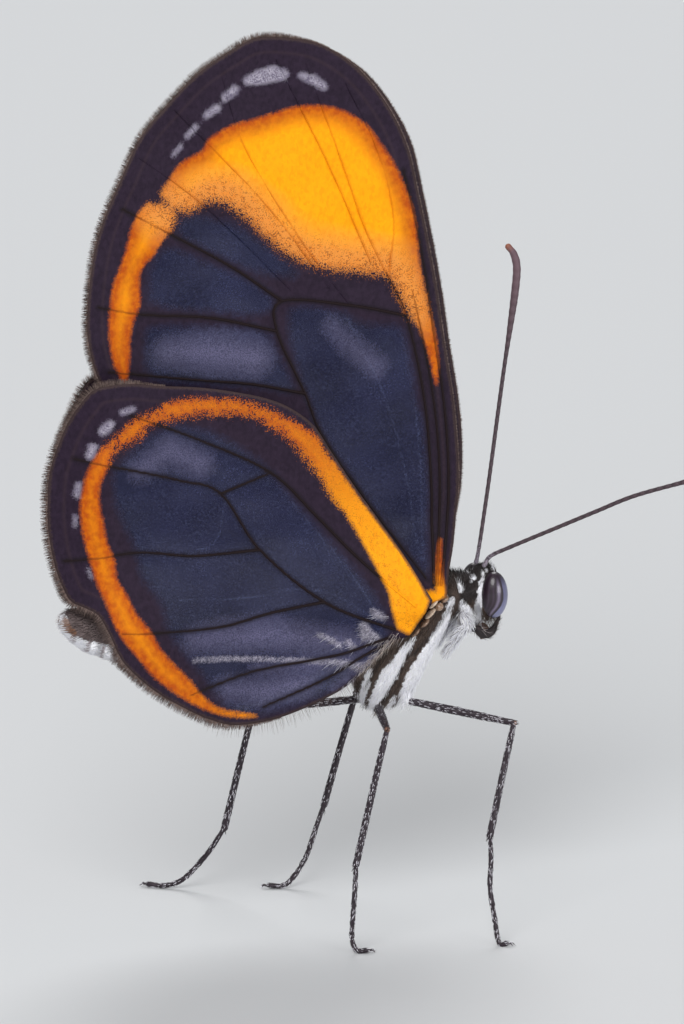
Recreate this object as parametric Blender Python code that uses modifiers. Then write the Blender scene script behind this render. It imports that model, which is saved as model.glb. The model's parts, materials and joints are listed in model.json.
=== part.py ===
"""A small clear-winged butterfly of the glasswing kind, life size, at rest on its four walking legs.

Run it with blender --background --python part.py, or from Blender's text editor.
Sizes are in millimetres, and MM turns them into Blender's metres. The animal faces +X, its left side
is +Y and +Z is up. It stands on the floor with its wings closed over its back.
"""

import math

import bmesh
import bpy
from mathutils import Matrix, Vector
from mathutils.geometry import delaunay_2d_cdt

MM = 0.001

# Driving sizes
FOREWING_LENGTH = 25.0
GAP = 0.3  # between two nodes that meet
WING_THICKNESS = 0.5
VEIN_HEIGHT = 0.12  # of a vein's crest over the membrane
VEIN_HALF_WIDTH = 0.32
LEG_RADIUS = 0.25
ANTENNA_RADIUS = 0.25
CLUB_RADIUS = 0.3
EYE_HEIGHT = 1.9
HEAD_HEIGHT = 2.3
ABDOMEN_RADIUS = 1.2

# The view that the outlines were drawn in: the body turned away, the eye above the floor
VIEW_YAW = math.radians(20)
VIEW_ELEVATION = math.radians(16)
FOREWING_PIXELS = 625.0
PIXELS_PER_MM = FOREWING_PIXELS / FOREWING_LENGTH
ORIGIN_PIXEL = (390.0, 908.0)

# Wing outlines, from the front of the root round the margin to the back of the root, in pixels
FOREWING_EDGE = (
    (446, 597), (448, 573), (453, 536), (457, 494), (457, 452), (452, 396), (443, 340), (433, 273),
    (416, 188), (405, 143), (385, 104), (357, 70), (321, 47), (287, 40), (256, 41), (231, 54),
    (197, 77), (166, 110), (141, 141), (121, 183), (107, 216), (96, 253), (90, 289), (88, 331),
    (93, 362), (104, 390), (122, 408), (160, 425), (215, 434), (265, 448), (300, 473), (335, 508),
    (370, 548), (400, 580), (428, 606),
)
HINDWING_EDGE = (
    (432, 600), (418, 578), (400, 550), (375, 515), (350, 480), (330, 450), (313, 425),
    (290, 408), (265, 398), (235, 392), (200, 388), (160, 386), (130, 384), (99, 389),
    (82, 404), (68, 424), (58, 447), (50, 475), (48, 508), (50, 536), (55, 564), (63, 586),
    (72, 601), (85, 607), (99, 615), (110, 634), (124, 662), (152, 688), (180, 705), (208, 718),
    (236, 724), (278, 717), (321, 699), (349, 683), (374, 660),
)

# Main veins, each from the root outwards, in pixels
FOREWING_VEINS = (
    ((440, 585), (446, 520), (447, 460), (442, 396), (432, 330), (424, 273), (413, 216), (402, 170)),
    ((433, 585), (431, 530), (430, 480), (423, 398), (405, 315), (385, 273), (363, 225), (340, 160),
     (305, 65)),
    ((405, 315), (349, 305), (281, 301), (276, 331), (304, 393), (321, 435), (363, 497), (402, 548),
     (425, 578)),
    ((349, 305), (300, 240), (255, 150), (232, 75)),
    ((281, 301), (232, 268), (180, 240), (122, 210)),
    ((276, 331), (210, 318), (144, 315), (98, 308)),
    ((304, 393), (252, 384), (200, 380), (108, 372)),
)
HINDWING_VEINS = (
    ((415, 606), (360, 560), (315, 515), (270, 472), (200, 440), (130, 415)),
    ((394, 629), (323, 601), (259, 549), (220, 493), (180, 480), (121, 468), (74, 458)),
    ((220, 493), (270, 472)),
    ((259, 549), (194, 555), (135, 552), (64, 560)),
    ((323, 601), (270, 612), (220, 626), (160, 632), (122, 633)),
    ((388, 637), (348, 651), (306, 660), (250, 671), (190, 694)),
    ((382, 645), (354, 660), (320, 680), (262, 706)),
)
VEIN_STEP = 1.1
EDGE_STEP = 0.9

# The left pair lies a little forward and low, so that the right pair hides it from the camera
WING_ROOT = (1.5, 12.6)
FAR_FORWARD, FAR_LOWER = 0.4, 0.25
FAR_REACH = 8.0  # from the root, where the full shift is reached
FILL_STEP = 2.2
CLOSEST = 0.05  # points nearer than this in a wing's plane are one

# Where the wings stand: the inner face of each, how they spread round the thorax and abdomen, and
# where the two hindwings, past the forewings' edge, close towards their outer margin
FOREWING_INNER = GAP / 2
HINDWING_INNER = FOREWING_INNER + WING_THICKNESS + VEIN_HEIGHT + GAP
SPREAD = 1.3
SPREAD_TOP = 16.5
SPREAD_BOTTOM = 12.5
SPREAD_FRONT = 1.7
SPREAD_BACK = -0.3
SPREAD_LEAST = 0.45
CLOSING_START = -12.2
CLOSING_END = -14.9
# Below the forewing's root the hindwing comes in to the thorax by this much
ROOTING = 0.2
ROOTING_TOP = 12.9
ROOTING_BOTTOM = 12.1
ROOTING_BACK = -3.0
ROOTING_FRONT = -1.2

# Thorax sections: x, lowest, highest, half width
THORAX_SECTIONS = (
    (-1.70, 10.3, 12.9, 0.95),
    (-1.45, 9.2, 13.1, 1.12),
    (-1.00, 8.45, 13.3, 1.20),
    (-0.30, 8.3, 13.45, 1.26),
    (0.50, 8.5, 13.5, 1.33),
    (1.20, 9.5, 13.5, 1.36),
    (1.90, 10.9, 13.6, 1.26),
    (2.45, 11.8, 13.8, 1.06),
    (2.87, 12.2, 13.8, 0.9),
    (3.08, 12.4, 13.6, 0.6),
)
THORAX_STEP = 0.45
THORAX_HEIGHT = 11.0  # of the thorax's own origin

# Abdomen: its own axis from the thorax back to the tip
ABDOMEN_FRONT = THORAX_SECTIONS[0][0] - GAP
ABDOMEN_TIP = -14.1
ABDOMEN_AXIS = ((ABDOMEN_FRONT, 11.75), (-5.5, 12.4), (-9.8, 12.7), (-12.2, 12.66), (ABDOMEN_TIP, 13.3))
ABDOMEN_SEGMENTS = 8
SEGMENT_RINGS = 4
SEGMENT_GROOVE = 0.08
ABDOMEN_WAIST = 0.82  # of the full radius, at the front
ABDOMEN_FULL = 0.2  # of the length, where the full radius is reached
ABDOMEN_TAPER = 0.78  # of the length, where the tip starts to round in
ABDOMEN_ROUNDING = 0.225
ABDOMEN_FLATTENING = 0.97
ABDOMEN_LEAST = 0.12

# Head, in its own frame: forward, left and up from its middle
HEAD_MIDDLE = Vector((4.03, 0.12, 12.79))
HEAD_TURN = math.radians(12)
HEAD_HALF_LENGTH = 0.7
HEAD_HALF_WIDTH = 0.5
EYE_HALF_LENGTH = 0.6
EYE_BULGE = 0.55
EYE_SINK = 0.04
HEAD_RISE = 0.05
PALP_RADIUS = 0.25
PALP_TAPER = 0.55
PALP_SPACING = 0.55
PALP_PATH = ((-0.55, -1.5), (-0.37, -1.7), (-0.08, -1.76), (0.17, -1.63), (0.32, -1.4))
COIL_MIDDLE = (-0.08, -1.66)
COIL_RADIUS = 0.3
COIL_TUBE = 0.1
COIL_TURNS = 1.3
COIL_PIECES = 27

# How a feeler's radius changes along its length
CLUB_START = 0.72
CLUB_RISE = 0.14
TIP_START = 0.9
TIP_TAPER = 0.6

# Antennae: pixel and depth behind the body's axis
ANTENNA_PATHS = {
    "left": ((479, 551, 1.6), (484, 516, 1.9), (490, 474, 2.2), (498, 414, 2.7), (504, 370, 3.0),
             (510, 329, 3.3), (515, 293, 3.6), (517, 268, 3.8), (514, 254, 3.9), (509, 247, 4.0)),
    "right": ((488, 557, 1.0), (513, 546, 0.7), (561, 526, 0.3), (597, 511, -0.1), (634, 496, -0.5),
              (684, 482, -1.0), (720, 472, -1.4), (750, 464, -1.7), (768, 458, -1.9), (778, 452, -2.0)),
}

# Legs: where the hip sits on the thorax (x, angle below level), then pixel and depth of each joint
LEGS = {
    "mid_right": {
        "hip": (0.45, 58), "side": -1, "knee": (514, 723, -1.8), "ankle": (490, 835, -3.8),
        "foot": ((491, 860, -4.2), (490, 887, -4.7), (494, 915, -5.2), (499, 936, -5.45),
                 (507, 941, -5.55)),
    },
    "hind_right": {
        "hip": (-0.75, 62), "side": -1, "knee": (387, 729, -5.6), "ankle": (356, 864, -6.2),
        "foot": ((355, 887, -6.3), (353, 915, -6.4), (352, 938, -6.45), (357, 947, -6.5),
                 (368, 948, -6.5)),
    },
    "mid_left": {
        "hip": (0.45, 58), "side": 1, "knee": (356, 694, 4.6), "ankle": (324, 806, 3.4),
        "foot": ((316, 829, 3.1), (306, 858, 2.8), (294, 878, 2.6), (283, 885, 2.5),
                 (268, 886, 2.5)),
    },
    "hind_left": {
        "hip": (-0.75, 62), "side": 1, "knee": (253, 710, 1.2), "ankle": (224, 829, 2.2),
        "foot": ((210, 851, 2.3), (195, 869, 2.4), (181, 882, 2.45), (165, 886, 2.5),
                 (146, 884, 2.7)),
    },
}
LEG_SWELL = 1.05  # of a segment's radius, half way along
FOOT_HEIGHT = 0.2  # of a foot's middle over the floor, so that its underside is cut to a flat

# The small folded forelegs lie along the front of the breast
FORELEG_PATH = ((3.05, 0.6, 11.7), (2.78, 0.6, 11.38), (2.48, 0.61, 11.0), (2.23, 0.62, 10.62))
FORELEG_RADIUS = 0.27
FORELEG_ENDS = 0.75  # of the full radius, at both ends
FORELEG_TAPER = 0.4

FINISHES = {
    "wing": ((0.07, 0.06, 0.09), 0.55),
    "thorax": ((0.09, 0.06, 0.05), 0.85),
    "abdomen": ((0.10, 0.07, 0.08), 0.8),
    "head": ((0.04, 0.03, 0.03), 0.85),
    "eye": ((0.09, 0.06, 0.09), 0.25),
    "palp": ((0.05, 0.04, 0.04), 0.8),
    "proboscis": ((0.10, 0.05, 0.03), 0.4),
    "antenna": ((0.12, 0.08, 0.10), 0.6),
    "leg": ((0.05, 0.03, 0.05), 0.6),
    "foreleg": ((0.80, 0.80, 0.86), 0.9),
}


def clear_scene():
    for obj in list(bpy.data.objects):
        bpy.data.objects.remove(obj, do_unlink=True)


def ease(t):
    """0 below 0, 1 above 1, and a smooth step between."""
    t = min(max(t, 0.0), 1.0)
    return t * t * (3 - 2 * t)


def from_view(across_pixel, down_pixel, depth):
    """The point seen at this pixel, this many millimetres behind the body's axis."""
    across = (across_pixel - ORIGIN_PIXEL[0]) / PIXELS_PER_MM
    up = (ORIGIN_PIXEL[1] - down_pixel) / PIXELS_PER_MM
    sine, cosine = math.sin(VIEW_YAW), math.cos(VIEW_YAW)
    height = (up - depth * math.sin(VIEW_ELEVATION)) / math.cos(VIEW_ELEVATION)
    return Vector((across * cosine + depth * sine, depth * cosine - across * sine, height))


def on_wing_plane(pixel, y):
    """The x and z of what is seen at this pixel on an upright plane along the body."""
    across = (pixel[0] - ORIGIN_PIXEL[0]) / PIXELS_PER_MM
    up = (ORIGIN_PIXEL[1] - pixel[1]) / PIXELS_PER_MM
    x = (across + y * math.sin(VIEW_YAW)) / math.cos(VIEW_YAW)
    depth = x * math.sin(VIEW_YAW) + y * math.cos(VIEW_YAW)
    return Vector((x, (up - depth * math.sin(VIEW_ELEVATION)) / math.cos(VIEW_ELEVATION)))


def spread(x, z):
    """How far a wing stands out from its upright plane, to pass round the thorax and abdomen."""
    by_height = ease((SPREAD_TOP - z) / (SPREAD_TOP - SPREAD_BOTTOM))
    by_length = ease((x - SPREAD_BACK) / (SPREAD_FRONT - SPREAD_BACK))
    return SPREAD * by_height * (SPREAD_LEAST + (1 - SPREAD_LEAST) * by_length)


def forewing_face(x, z):
    """The forewing's inner face: its distance from the middle of the body."""
    return FOREWING_INNER + spread(x, z)


def hindwing_face(x, z):
    """The hindwing's inner face. It lies outside the forewing, and closes in behind it."""
    closing = ease((x - CLOSING_END) / (CLOSING_START - CLOSING_END))
    by_height = ease((ROOTING_TOP - z) / (ROOTING_TOP - ROOTING_BOTTOM))
    by_length = ease((x - ROOTING_BACK) / (ROOTING_FRONT - ROOTING_BACK))
    outer = (HINDWING_INNER - FOREWING_INNER) * closing
    return FOREWING_INNER + outer + spread(x, z) - ROOTING * by_height * by_length


def on_wing(pixel, face):
    """The x and z of what is seen at this pixel on the right wing with this inner face."""
    place = on_wing_plane(pixel, 0)
    for _ in range(6):
        place = on_wing_plane(pixel, -face(*place))
    return place


def smooth_line(points, step):
    """Points about a step apart on the smooth curve through these ones."""
    points = [Vector(p) for p in points]
    ends = [2 * points[0] - points[1], *points, 2 * points[-1] - points[-2]]
    line = []
    for before, start, end, after in zip(ends, ends[1:], ends[2:], ends[3:]):
        pieces = max(1, round((end - start).length / step))
        for i in range(pieces):
            t = i / pieces
            bend = 2 * before - 5 * start + 4 * end - after
            twist = 3 * start - before - 3 * end + after
            line.append(start + 0.5 * t * ((end - before) + t * bend + t * t * twist))
    return [*line, points[-1]]


def material(kind):
    """The finish of this kind of sub-part, made once."""
    found = bpy.data.materials.get(kind)
    if found:
        return found
    colour, roughness = FINISHES[kind]
    made = bpy.data.materials.new(kind)
    made.use_nodes = True
    shader = made.node_tree.nodes["Principled BSDF"]
    shader.inputs["Base Color"].default_value = (*colour, 1)
    shader.inputs["Roughness"].default_value = roughness
    shader.inputs["Metallic"].default_value = 0
    return made


class Model:
    """The collection that holds the animal, and the empty that its nodes are parented to."""

    def __init__(self, name):
        self.collection = bpy.data.collections.new(name)
        bpy.context.scene.collection.children.link(self.collection)
        self.stance = bpy.data.objects.new(name + "_stance", None)
        self.collection.objects.link(self.stance)
        self.nodes = []

    def add(self, name, data, kind, at=Vector((0, 0, 0))):
        """A node whose origin is its own joint or middle, given in millimetres."""
        data.materials.append(material(kind))
        node = bpy.data.objects.new(name, data)
        node.location = at * MM
        node.parent = self.stance
        self.collection.objects.link(node)
        self.nodes.append(node)
        return node

    def stand_on_origin(self):
        """Moves the animal so that the middle of its box's floor is the origin."""
        bpy.context.view_layer.update()
        graph = bpy.context.evaluated_depsgraph_get()
        corners = []
        for node in self.nodes:
            shape = node.evaluated_get(graph).to_mesh()
            corners += [node.matrix_world @ v.co for v in shape.vertices]
            node.evaluated_get(graph).to_mesh_clear()
        low = [min(c[i] for c in corners) for i in range(3)]
        high = [max(c[i] for c in corners) for i in range(3)]
        self.stance.location = (-(low[0] + high[0]) / 2, -(low[1] + high[1]) / 2, -low[2])


def mesh_from(shape, name, at):
    """A mesh in metres, about its own origin, from a bmesh in millimetres."""
    bmesh.ops.recalc_face_normals(shape, faces=shape.faces)
    shape.transform(Matrix.Scale(MM, 4) @ Matrix.Translation(-at))
    mesh = bpy.data.meshes.new(name)
    shape.to_mesh(mesh)
    shape.free()
    mesh.shade_smooth()
    mesh.set_sharp_from_angle(angle=math.radians(45))
    return mesh


def tube_curve(name, points, radii, at, sides=2):
    """A round tube with closed ends along these points, as a curve about its own origin."""
    curve = bpy.data.curves.new(name, "CURVE")
    curve.dimensions = "3D"
    curve.bevel_depth = MM
    curve.bevel_resolution = sides
    curve.use_fill_caps = True
    spline = curve.splines.new("POLY")
    spline.points.add(len(points) - 1)
    for i, (point, radius) in enumerate(zip(points, radii)):
        spline.points[i].co = (*((Vector(point) - at) * MM), 1)
        spline.points[i].radius = radius
    spline.use_smooth = True
    return curve


def loft(sections, sides):
    """A closed body through upright oval sections, each x, lowest, highest and half width."""
    shape = bmesh.new()
    rings = []
    for x, low, high, half_width in sections:
        ring = []
        for i in range(sides):
            angle = 2 * math.pi * i / sides
            z = (low + high) / 2 + (high - low) / 2 * math.sin(angle)
            ring.append(shape.verts.new((x, half_width * math.cos(angle), z)))
        rings.append(ring)
    for back, front in zip(rings, rings[1:]):
        for i in range(sides):
            j = (i + 1) % sides
            shape.faces.new((back[i], back[j], front[j], front[i]))
    shape.faces.new(rings[0])
    shape.faces.new(rings[-1])
    return shape


def thorax_section(x):
    """The thorax's lowest, highest and half width at this x."""
    for back, front in zip(THORAX_SECTIONS, THORAX_SECTIONS[1:]):
        if back[0] <= x <= front[0]:
            t = (x - back[0]) / (front[0] - back[0])
            return [back[i] + t * (front[i] - back[i]) for i in (1, 2, 3)]
    raise ValueError("the thorax doesn't reach there")


def make_thorax(model):
    at = Vector((0, 0, THORAX_HEIGHT))
    sections = smooth_line(THORAX_SECTIONS, THORAX_STEP)
    model.add("thorax", mesh_from(loft(sections, 28), "thorax", at), "thorax", at)


def abdomen_radius(t):
    """Half width of the abdomen from its front, t = 0, to its tip, t = 1."""
    front = ABDOMEN_WAIST + (1 - ABDOMEN_WAIST) * ease(t / ABDOMEN_FULL)
    into_tip = max(0.0, (t - ABDOMEN_TAPER) / ABDOMEN_ROUNDING)
    return ABDOMEN_RADIUS * front * math.sqrt(max(0.0, 1 - into_tip ** 2))


def make_abdomen(model):
    """Rings that swell a little between shallow grooves, tapering to the tip."""
    axis = smooth_line(ABDOMEN_AXIS, 0.2)
    sections = []
    for i in range(SEGMENT_RINGS * ABDOMEN_SEGMENTS + 1):
        t = i / (SEGMENT_RINGS * ABDOMEN_SEGMENTS)
        x = ABDOMEN_FRONT + t * (ABDOMEN_TIP - ABDOMEN_FRONT)
        z = min(axis, key=lambda point: abs(point[0] - x))[1]
        groove = SEGMENT_GROOVE if i % SEGMENT_RINGS == 0 and i > 0 else 0
        radius = max(abdomen_radius(t) * (1 - groove), ABDOMEN_LEAST)
        sections.append((x, z - radius, z + radius, radius * ABDOMEN_FLATTENING))
    at = Vector((ABDOMEN_FRONT, 0, ABDOMEN_AXIS[0][1]))
    model.add("abdomen", mesh_from(loft(sections, 20), "abdomen", at), "abdomen", at)


def head_place():
    return Matrix.Translation(HEAD_MIDDLE) @ Matrix.Rotation(HEAD_TURN, 4, "Z")


def ellipsoid(half_sizes, middle, columns=20, rows=14):
    shape = bmesh.new()
    bmesh.ops.create_uvsphere(shape, u_segments=columns, v_segments=rows, radius=1)
    shape.transform(Matrix.Translation(middle) @ Matrix.Diagonal((*half_sizes, 1)))
    return shape


def slice_off(shape, point, outwards):
    """Cuts away what lies beyond the plane, and closes the cut."""
    parts = [*shape.verts, *shape.edges, *shape.faces]
    cut = bmesh.ops.bisect_plane(
        shape, geom=parts, dist=1e-5, plane_co=point, plane_no=outwards, clear_outer=True
    )
    rim = [part for part in cut["geom_cut"] if isinstance(part, bmesh.types.BMEdge)]
    bmesh.ops.contextual_create(shape, geom=rim)


def make_head(model):
    """The capsule between the eyes, flat where each eye meets it."""
    half_sizes = (HEAD_HALF_LENGTH, 2 * HEAD_HALF_WIDTH, HEAD_HEIGHT / 2)
    shape = ellipsoid(half_sizes, Vector((0, 0, HEAD_RISE)))
    for side in (-1, 1):
        slice_off(shape, (0, side * HEAD_HALF_WIDTH, 0), (0, side, 0))
    shape.transform(head_place())
    model.add("head", mesh_from(shape, "head", HEAD_MIDDLE), "head", HEAD_MIDDLE)


def make_eyes(model):
    """Domes that stand off the flat sides of the head."""
    inner = HEAD_HALF_WIDTH + GAP
    for name, side in (("eye_right", -1), ("eye_left", 1)):
        half_sizes = (EYE_HALF_LENGTH, EYE_BULGE, EYE_HEIGHT / 2)
        shape = ellipsoid(half_sizes, Vector((0, side * (inner - EYE_SINK), 0)))
        slice_off(shape, (0, side * inner, 0), (0, -side, 0))
        shape.transform(head_place())
        at = head_place() @ Vector((0, side * inner, 0))
        model.add(name, mesh_from(shape, name, at), "eye", at)


def make_mouthparts(model):
    """Two palps that curve up before the face, with the coiled tongue between them."""
    place = head_place()
    for name, side in (("palp_right", -1), ("palp_left", 1)):
        path = smooth_line([(f, side * PALP_SPACING, u) for f, u in PALP_PATH], 0.2)
        radii = []
        for i in range(len(path)):
            radii.append(PALP_RADIUS * (1 - PALP_TAPER * ease((i / len(path) - 0.6) / 0.4)))
        points = [place @ p for p in path]
        model.add(name, tube_curve(name, points, radii, points[0]), "palp", points[0])
    turns, radii = [], []
    for i in range(COIL_PIECES + 1):
        t = i / COIL_PIECES
        angle = 2 * math.pi * COIL_TURNS * t - 0.5 * math.pi
        radius = COIL_RADIUS * (1 - 0.75 * t)
        forward = COIL_MIDDLE[0] + radius * math.cos(angle)
        turns.append(place @ Vector((forward, 0, COIL_MIDDLE[1] + radius * math.sin(angle))))
        radii.append(COIL_TUBE * (1 - 0.4 * t))
    model.add("proboscis", tube_curve("proboscis", turns, radii, turns[0]), "proboscis", turns[0])


def make_antennae(model):
    """Long feelers that thicken into a slim club near the tip."""
    for side, path in ANTENNA_PATHS.items():
        points = smooth_line([from_view(*p) for p in path], 0.6)
        radii = []
        for i in range(len(points)):
            t = i / (len(points) - 1)
            club = (CLUB_RADIUS - ANTENNA_RADIUS) * ease((t - CLUB_START) / CLUB_RISE)
            tip = 1 - TIP_TAPER * ease((t - TIP_START) / (1 - TIP_START))
            radii.append((ANTENNA_RADIUS + club) * tip)
        name = "antenna_" + side
        model.add(name, tube_curve(name, points, radii, points[0]), "antenna", points[0])


def distance_to_line(point, line):
    """Distance from a point to a line of straight pieces, all in the wing's plane."""
    nearest = math.inf
    for start, end in zip(line, line[1:]):
        along = end - start
        t = (point - start).dot(along) / max(along.length_squared, 1e-9)
        nearest = min(nearest, (point - start - min(max(t, 0.0), 1.0) * along).length)
    return nearest


def beside(line, offset):
    """The line moved sideways in the wing's plane."""
    moved = []
    for i, point in enumerate(line):
        along = line[min(i + 1, len(line) - 1)] - line[max(i - 1, 0)]
        moved.append(point + offset * Vector((-along.y, along.x)).normalized())
    return moved


def inside(point, outline):
    """Whether the point lies within the closed outline."""
    found = False
    for start, end in zip(outline, [*outline[1:], outline[0]]):
        if (start.y > point.y) != (end.y > point.y):
            if point.x < start.x + (point.y - start.y) / (end.y - start.y) * (end.x - start.x):
                found = not found
    return found


def wing_grid(outline, veins):
    """Triangles over the wing's plane, with edges along each vein's crest and both its feet."""
    points = list(outline)
    edges = []
    for vein in veins:
        for offset in (-VEIN_HALF_WIDTH, 0, VEIN_HALF_WIDTH):
            start = len(points)
            points += beside(vein, offset)
            edges += [(i, i + 1) for i in range(start, len(points) - 1)]
    low = [min(p[i] for p in outline) for i in (0, 1)]
    high = [max(p[i] for p in outline) for i in (0, 1)]
    for column in range(int((high[0] - low[0]) / FILL_STEP) + 1):
        for row in range(int((high[1] - low[1]) / FILL_STEP) + 1):
            point = Vector((low[0] + column * FILL_STEP, low[1] + row * FILL_STEP))
            far_from_edge = distance_to_line(point, [*outline, outline[0]]) > 0.5 * FILL_STEP
            far_from_veins = all(distance_to_line(point, v) > 0.45 * FILL_STEP for v in veins)
            if inside(point, outline) and far_from_edge and far_from_veins:
                points.append(point)
    grid = delaunay_2d_cdt(points, edges, [list(range(len(outline)))], 1, CLOSEST)
    return grid[0], grid[2]


def on_side(point, side, face):
    """Where a point of the wing's plane lies on this side of the body."""
    shift = 0.0
    if side > 0:
        shift = ease(math.dist(point, WING_ROOT) / FAR_REACH)
    return Vector((point.x + shift * FAR_FORWARD, side * face(*point), point.y - shift * FAR_LOWER))


def make_wing(model, name, side, face, edge, vein_paths):
    """A membrane with its veins raised on the outer face: an open surface that Solidify thickens."""
    outline = smooth_line([on_wing(p, face) for p in edge], EDGE_STEP)
    veins = [smooth_line([on_wing(p, face) for p in path], VEIN_STEP) for path in vein_paths]
    points, triangles = wing_grid(outline, veins)
    root = (outline[0] + outline[-1]) / 2
    at = on_side(root, side, face)
    shape = bmesh.new()
    corners = [shape.verts.new(on_side(p, side, face)) for p in points]
    for triangle in triangles:
        shape.faces.new([corners[i] for i in triangle])
    bmesh.ops.recalc_face_normals(shape, faces=shape.faces)
    shape.faces.ensure_lookup_table()
    if shape.faces[0].normal.y * side < 0:
        bmesh.ops.reverse_faces(shape, faces=shape.faces)
    shape.transform(Matrix.Scale(MM, 4) @ Matrix.Translation(-at))
    mesh = bpy.data.meshes.new(name)
    shape.to_mesh(mesh)
    shape.free()
    node = model.add(name, mesh, "wing", at)
    full = WING_THICKNESS + VEIN_HEIGHT
    raised = node.vertex_groups.new(name="raised")
    for i, point in enumerate(points):
        near = min(distance_to_line(point, vein) for vein in veins)
        height = VEIN_HEIGHT * max(0.0, 1 - near / VEIN_HALF_WIDTH)
        raised.add([i], (WING_THICKNESS + height) / full, "REPLACE")
    shell = node.modifiers.new("thickness", "SOLIDIFY")
    shell.thickness = full * MM
    shell.offset = 1
    shell.vertex_group = raised.name


def make_wings(model):
    for side_name, side in (("right", -1), ("left", 1)):
        make_wing(model, "forewing_" + side_name, side, forewing_face, FOREWING_EDGE, FOREWING_VEINS)
        make_wing(model, "hindwing_" + side_name, side, hindwing_face, HINDWING_EDGE, HINDWING_VEINS)


def hip_point(x, angle, side):
    """Where a leg's middle starts, a gap and its own radius outside the thorax."""
    low, high, half_width = thorax_section(x)
    half_height = (high - low) / 2
    cosine, sine = math.cos(math.radians(angle)), math.sin(math.radians(angle))
    outwards = Vector((0, side * cosine / half_width, -sine / half_height)).normalized()
    surface = Vector((x, side * half_width * cosine, (low + high) / 2 - half_height * sine))
    return surface + outwards * (GAP + LEG_RADIUS)


def segment(start, joint, clear_start):
    """A straight leg segment that ends in a ball on its joint, and can start clear of the last ball."""
    along = (joint - start).normalized()
    first = start + along * (LEG_RADIUS + GAP) if clear_start else start
    points = [first, (first + joint) / 2, joint]
    radii = [LEG_RADIUS, LEG_RADIUS * LEG_SWELL, LEG_RADIUS]
    for angle in (35, 65):
        points.append(joint + along * LEG_RADIUS * math.sin(math.radians(angle)))
        radii.append(LEG_RADIUS * math.cos(math.radians(angle)))
    return points, radii


def flat_footed(model, name, points, radii):
    """A tube made a mesh, its ends welded, and cut flat where it stands on the floor."""
    at = points[0]
    curve = tube_curve(name, points, radii, Vector((0, 0, 0)))
    helper = bpy.data.objects.new(name + "_tube", curve)
    bpy.context.scene.collection.objects.link(helper)
    bpy.context.view_layer.update()
    tube = bpy.data.meshes.new_from_object(helper.evaluated_get(bpy.context.evaluated_depsgraph_get()))
    bpy.data.objects.remove(helper, do_unlink=True)
    shape = bmesh.new()
    shape.from_mesh(tube)
    bpy.data.meshes.remove(tube)
    bmesh.ops.remove_doubles(shape, verts=shape.verts, dist=1e-7)
    shape.transform(Matrix.Scale(1 / MM, 4))
    slice_off(shape, (0, 0, 0), (0, 0, -1))
    model.add(name, mesh_from(shape, name, at), "leg", at)


def make_legs(model):
    """Thigh, shin and foot of each walking leg."""
    for name, leg in LEGS.items():
        hip = hip_point(*leg["hip"], leg["side"])
        knee, ankle = from_view(*leg["knee"]), from_view(*leg["ankle"])
        for part, start, joint, clear in (("femur", hip, knee, False), ("tibia", knee, ankle, True)):
            points, radii = segment(start, joint, clear)
            label = f"{part}_{name}"
            model.add(label, tube_curve(label, points, radii, points[0]), "leg", points[0])
        foot = [from_view(*p) for p in leg["foot"]]
        for point in foot[-2:]:
            point.z = FOOT_HEIGHT
        first = ankle + (foot[0] - ankle).normalized() * (LEG_RADIUS + GAP)
        points = smooth_line([first, *foot], 0.35)
        radii = [LEG_RADIUS] * len(points)
        flat_footed(model, "tarsus_" + name, points, radii)


def make_forelegs(model):
    """The two small front legs, folded and not walked on."""
    for name, side in (("foreleg_right", -1), ("foreleg_left", 1)):
        points = smooth_line([(x, side * y, z) for x, y, z in FORELEG_PATH], 0.3)
        radii = []
        for i in range(len(points)):
            t = i / (len(points) - 1)
            swell = FORELEG_ENDS + (1 - FORELEG_ENDS) * math.sin(math.pi * t)
            radii.append(FORELEG_RADIUS * swell * (1 - FORELEG_TAPER * ease((t - 0.7) / 0.3)))
        model.add(name, tube_curve(name, points, radii, points[0]), "foreleg", points[0])


def main():
    clear_scene()
    model = Model("butterfly")
    make_thorax(model)
    make_abdomen(model)
    make_head(model)
    make_eyes(model)
    make_mouthparts(model)
    make_antennae(model)
    make_wings(model)
    make_legs(model)
    make_forelegs(model)
    model.stand_on_origin()


main()
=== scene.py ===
"""Dresses the small clear-winged butterfly: scaled wings, haired body, banded eyes, and its stage.

Sizes are in millimetres in the animal's own frame, in which it faces +X, its left side is +Y and the
floor is z = 0. A pixel is one of the photo's. to_model() puts finished meshes in Blender's metres.
"""

import json
import math

import bmesh
import bpy
import numpy as np
from bpy.props import FloatProperty, FloatVectorProperty, IntProperty, PointerProperty
from bpy.types import Operator, Panel, PropertyGroup
from mathutils import Matrix, Vector
from mathutils.geometry import delaunay_2d_cdt

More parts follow.
